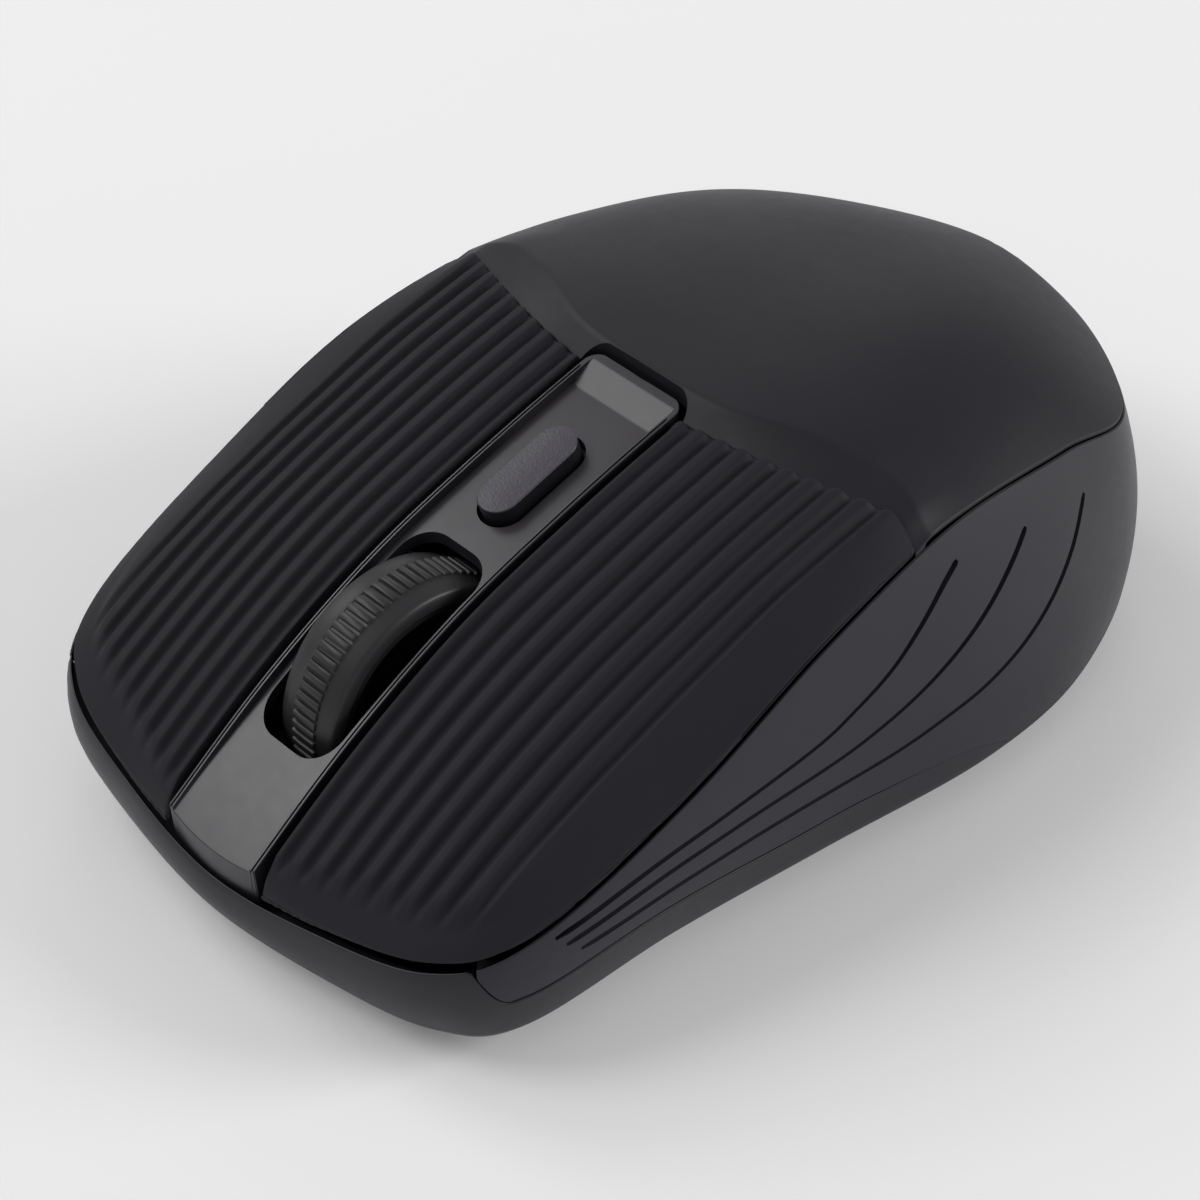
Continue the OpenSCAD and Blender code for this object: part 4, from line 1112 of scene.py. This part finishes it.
# One knurl: share of the pitch, depth below its top
KNURL = [(-0.3, 0.04), (-0.25, 0), (0.25, 0), (0.3, 0.04), (0.37, 0.32), (0.63, 0.32)]


def wheel_tyre():
    """Rubber tyre with a finely knurled middle and smooth round shoulders."""
    low, high = KNURL_SIDES
    # Half of the section outside the knurled part: x, radius
    shoulder = [
        (3.1, 9.7), (3.5, 9.75), (3.6, 9.95), (3.57, 10.5), (3.48, 10.95), (3.3, 11.16),
        (3.05, 11.27), (2.1, 11.5)]
    profile = [(-x, r) for x, r in shoulder]
    profile += [(low - 0.1, SHOULDER_R - 0.04), (low, SHOULDER_R)]
    profile.append((low + CHAMFER, WHEEL_R - CHAMFER))
    first = len(profile)
    profile += [(low + 0.16, WHEEL_R), (0.25, WHEEL_R), (high - 0.16, WHEEL_R)]
    last = len(profile)
    profile.append((high - CHAMFER, WHEEL_R - CHAMFER))
    profile += [(high, SHOULDER_R), (high + 0.1, SHOULDER_R - 0.04)]
    profile += shoulder[::-1]
    rings = []
    for k in range(KNURLS):
        for share, depth in KNURL:
            a = 2 * math.pi * (k + share) / KNURLS
            ring = []
            for i, (x, r) in enumerate(profile):
                if first - 1 <= i <= last:
                    r = min(r, WHEEL_R - depth)
                ring.append((x, WHEEL_Y + r * math.cos(a), WHEEL_Z + r * math.sin(a)))
            rings.append(ring)
    piece = loft("wheel_tyre_rubber", rings, RUBBER, sharp=40, closed=True)
    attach(piece, "wheel")
    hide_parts("wheel_tyre")


# ------------ stage, light and camera
def camera():
    """Seen from the front left and above, through a long lens."""
    azimuth, elevation, roll = (math.radians(a) for a in (48.85, 40.83, 2.44))
    distance = 0.3244
    aim = Vector((0, 0, 0.0185))
    shift_right, shift_up = -0.0027, -0.00695
    level = math.cos(elevation)
    back = Vector((math.sin(azimuth) * level, -math.cos(azimuth) * level, math.sin(elevation)))
    right = Vector((math.cos(azimuth), math.sin(azimuth), 0))
    up = back.cross(right)
    place = aim + back * distance + right * shift_right + up * shift_up
    rolled_right = right * math.cos(roll) - up * math.sin(roll)
    rolled_up = right * math.sin(roll) + up * math.cos(roll)
    data = bpy.data.cameras.new("camera")
    data.lens = 106.3
    data.sensor_width = 36
    data.clip_start = 0.01
    obj = bpy.data.objects.new("camera", data)
    rows = [list(row) for row in zip(rolled_right, rolled_up, back, place)]
    obj.matrix_world = Matrix(rows + [[0, 0, 0, 1]])
    bpy.context.scene.collection.objects.link(obj)
    bpy.context.scene.camera = obj


# Lamps: name, place in metres, power in watts; what they point at, and their diameter
LAMPS = [
    ("key", (-0.8, -0.8, 1.26), 7), ("fill", (-1.3, -0.1, 1.1), 5.6),
    ("rim", (1.12, 1.12, 0.64), 14), ("back", (-1.12, 1.12, 0.64), 2)]
LAMP_TARGET = (0, 0, 0.02)
LAMP_SIZE = 0.8


def lamp(name, place, power):
    """A round soft lamp."""
    data = bpy.data.lights.new(name, "AREA")
    data.shape = "DISK"
    data.size = LAMP_SIZE
    data.energy = power
    obj = bpy.data.objects.new(name, data)
    obj.location = place
    toward = Vector(LAMP_TARGET) - Vector(place)
    obj.rotation_euler = toward.to_track_quat("-Z", "Y").to_euler()
    bpy.context.scene.collection.objects.link(obj)


def stage():
    """A pale floor and soft studio light."""
    bpy.ops.mesh.primitive_plane_add(size=4, location=(0, 0, 0))
    floor = bpy.context.object
    floor.name = "studio_floor"
    n = Nodes("floor")
    n.link(n.tint(n.noise(60, 2), (0.93, 0.93, 0.93), (0.95, 0.95, 0.95)), "Base Color")
    n.bsdf.inputs["Roughness"].default_value = 0.9
    n.bsdf.inputs["Emission Color"].default_value = (1, 1, 1, 1)
    n.bsdf.inputs["Emission Strength"].default_value = 0.1
    n.bsdf.inputs["Specular IOR Level"].default_value = 0.1
    floor.data.materials.append(n.material)
    world = bpy.data.worlds.new("studio")
    world.use_nodes = True
    background = world.node_tree.nodes["Background"]
    background.inputs["Color"].default_value = (1, 1, 1, 1)
    background.inputs["Strength"].default_value = 0.3
    bpy.context.scene.world = world
    for name, place, power in LAMPS:
        lamp(name, place, power)


bpy.context.scene.view_settings.view_transform = "Standard"
camera()
stage()
dress_carried_nodes()
palm_cover()
button(1, "left_button")
button(-1, "right_button")
centre_strip()
dpi_button()
side_frame()
base_shell()
wheel_tyre()
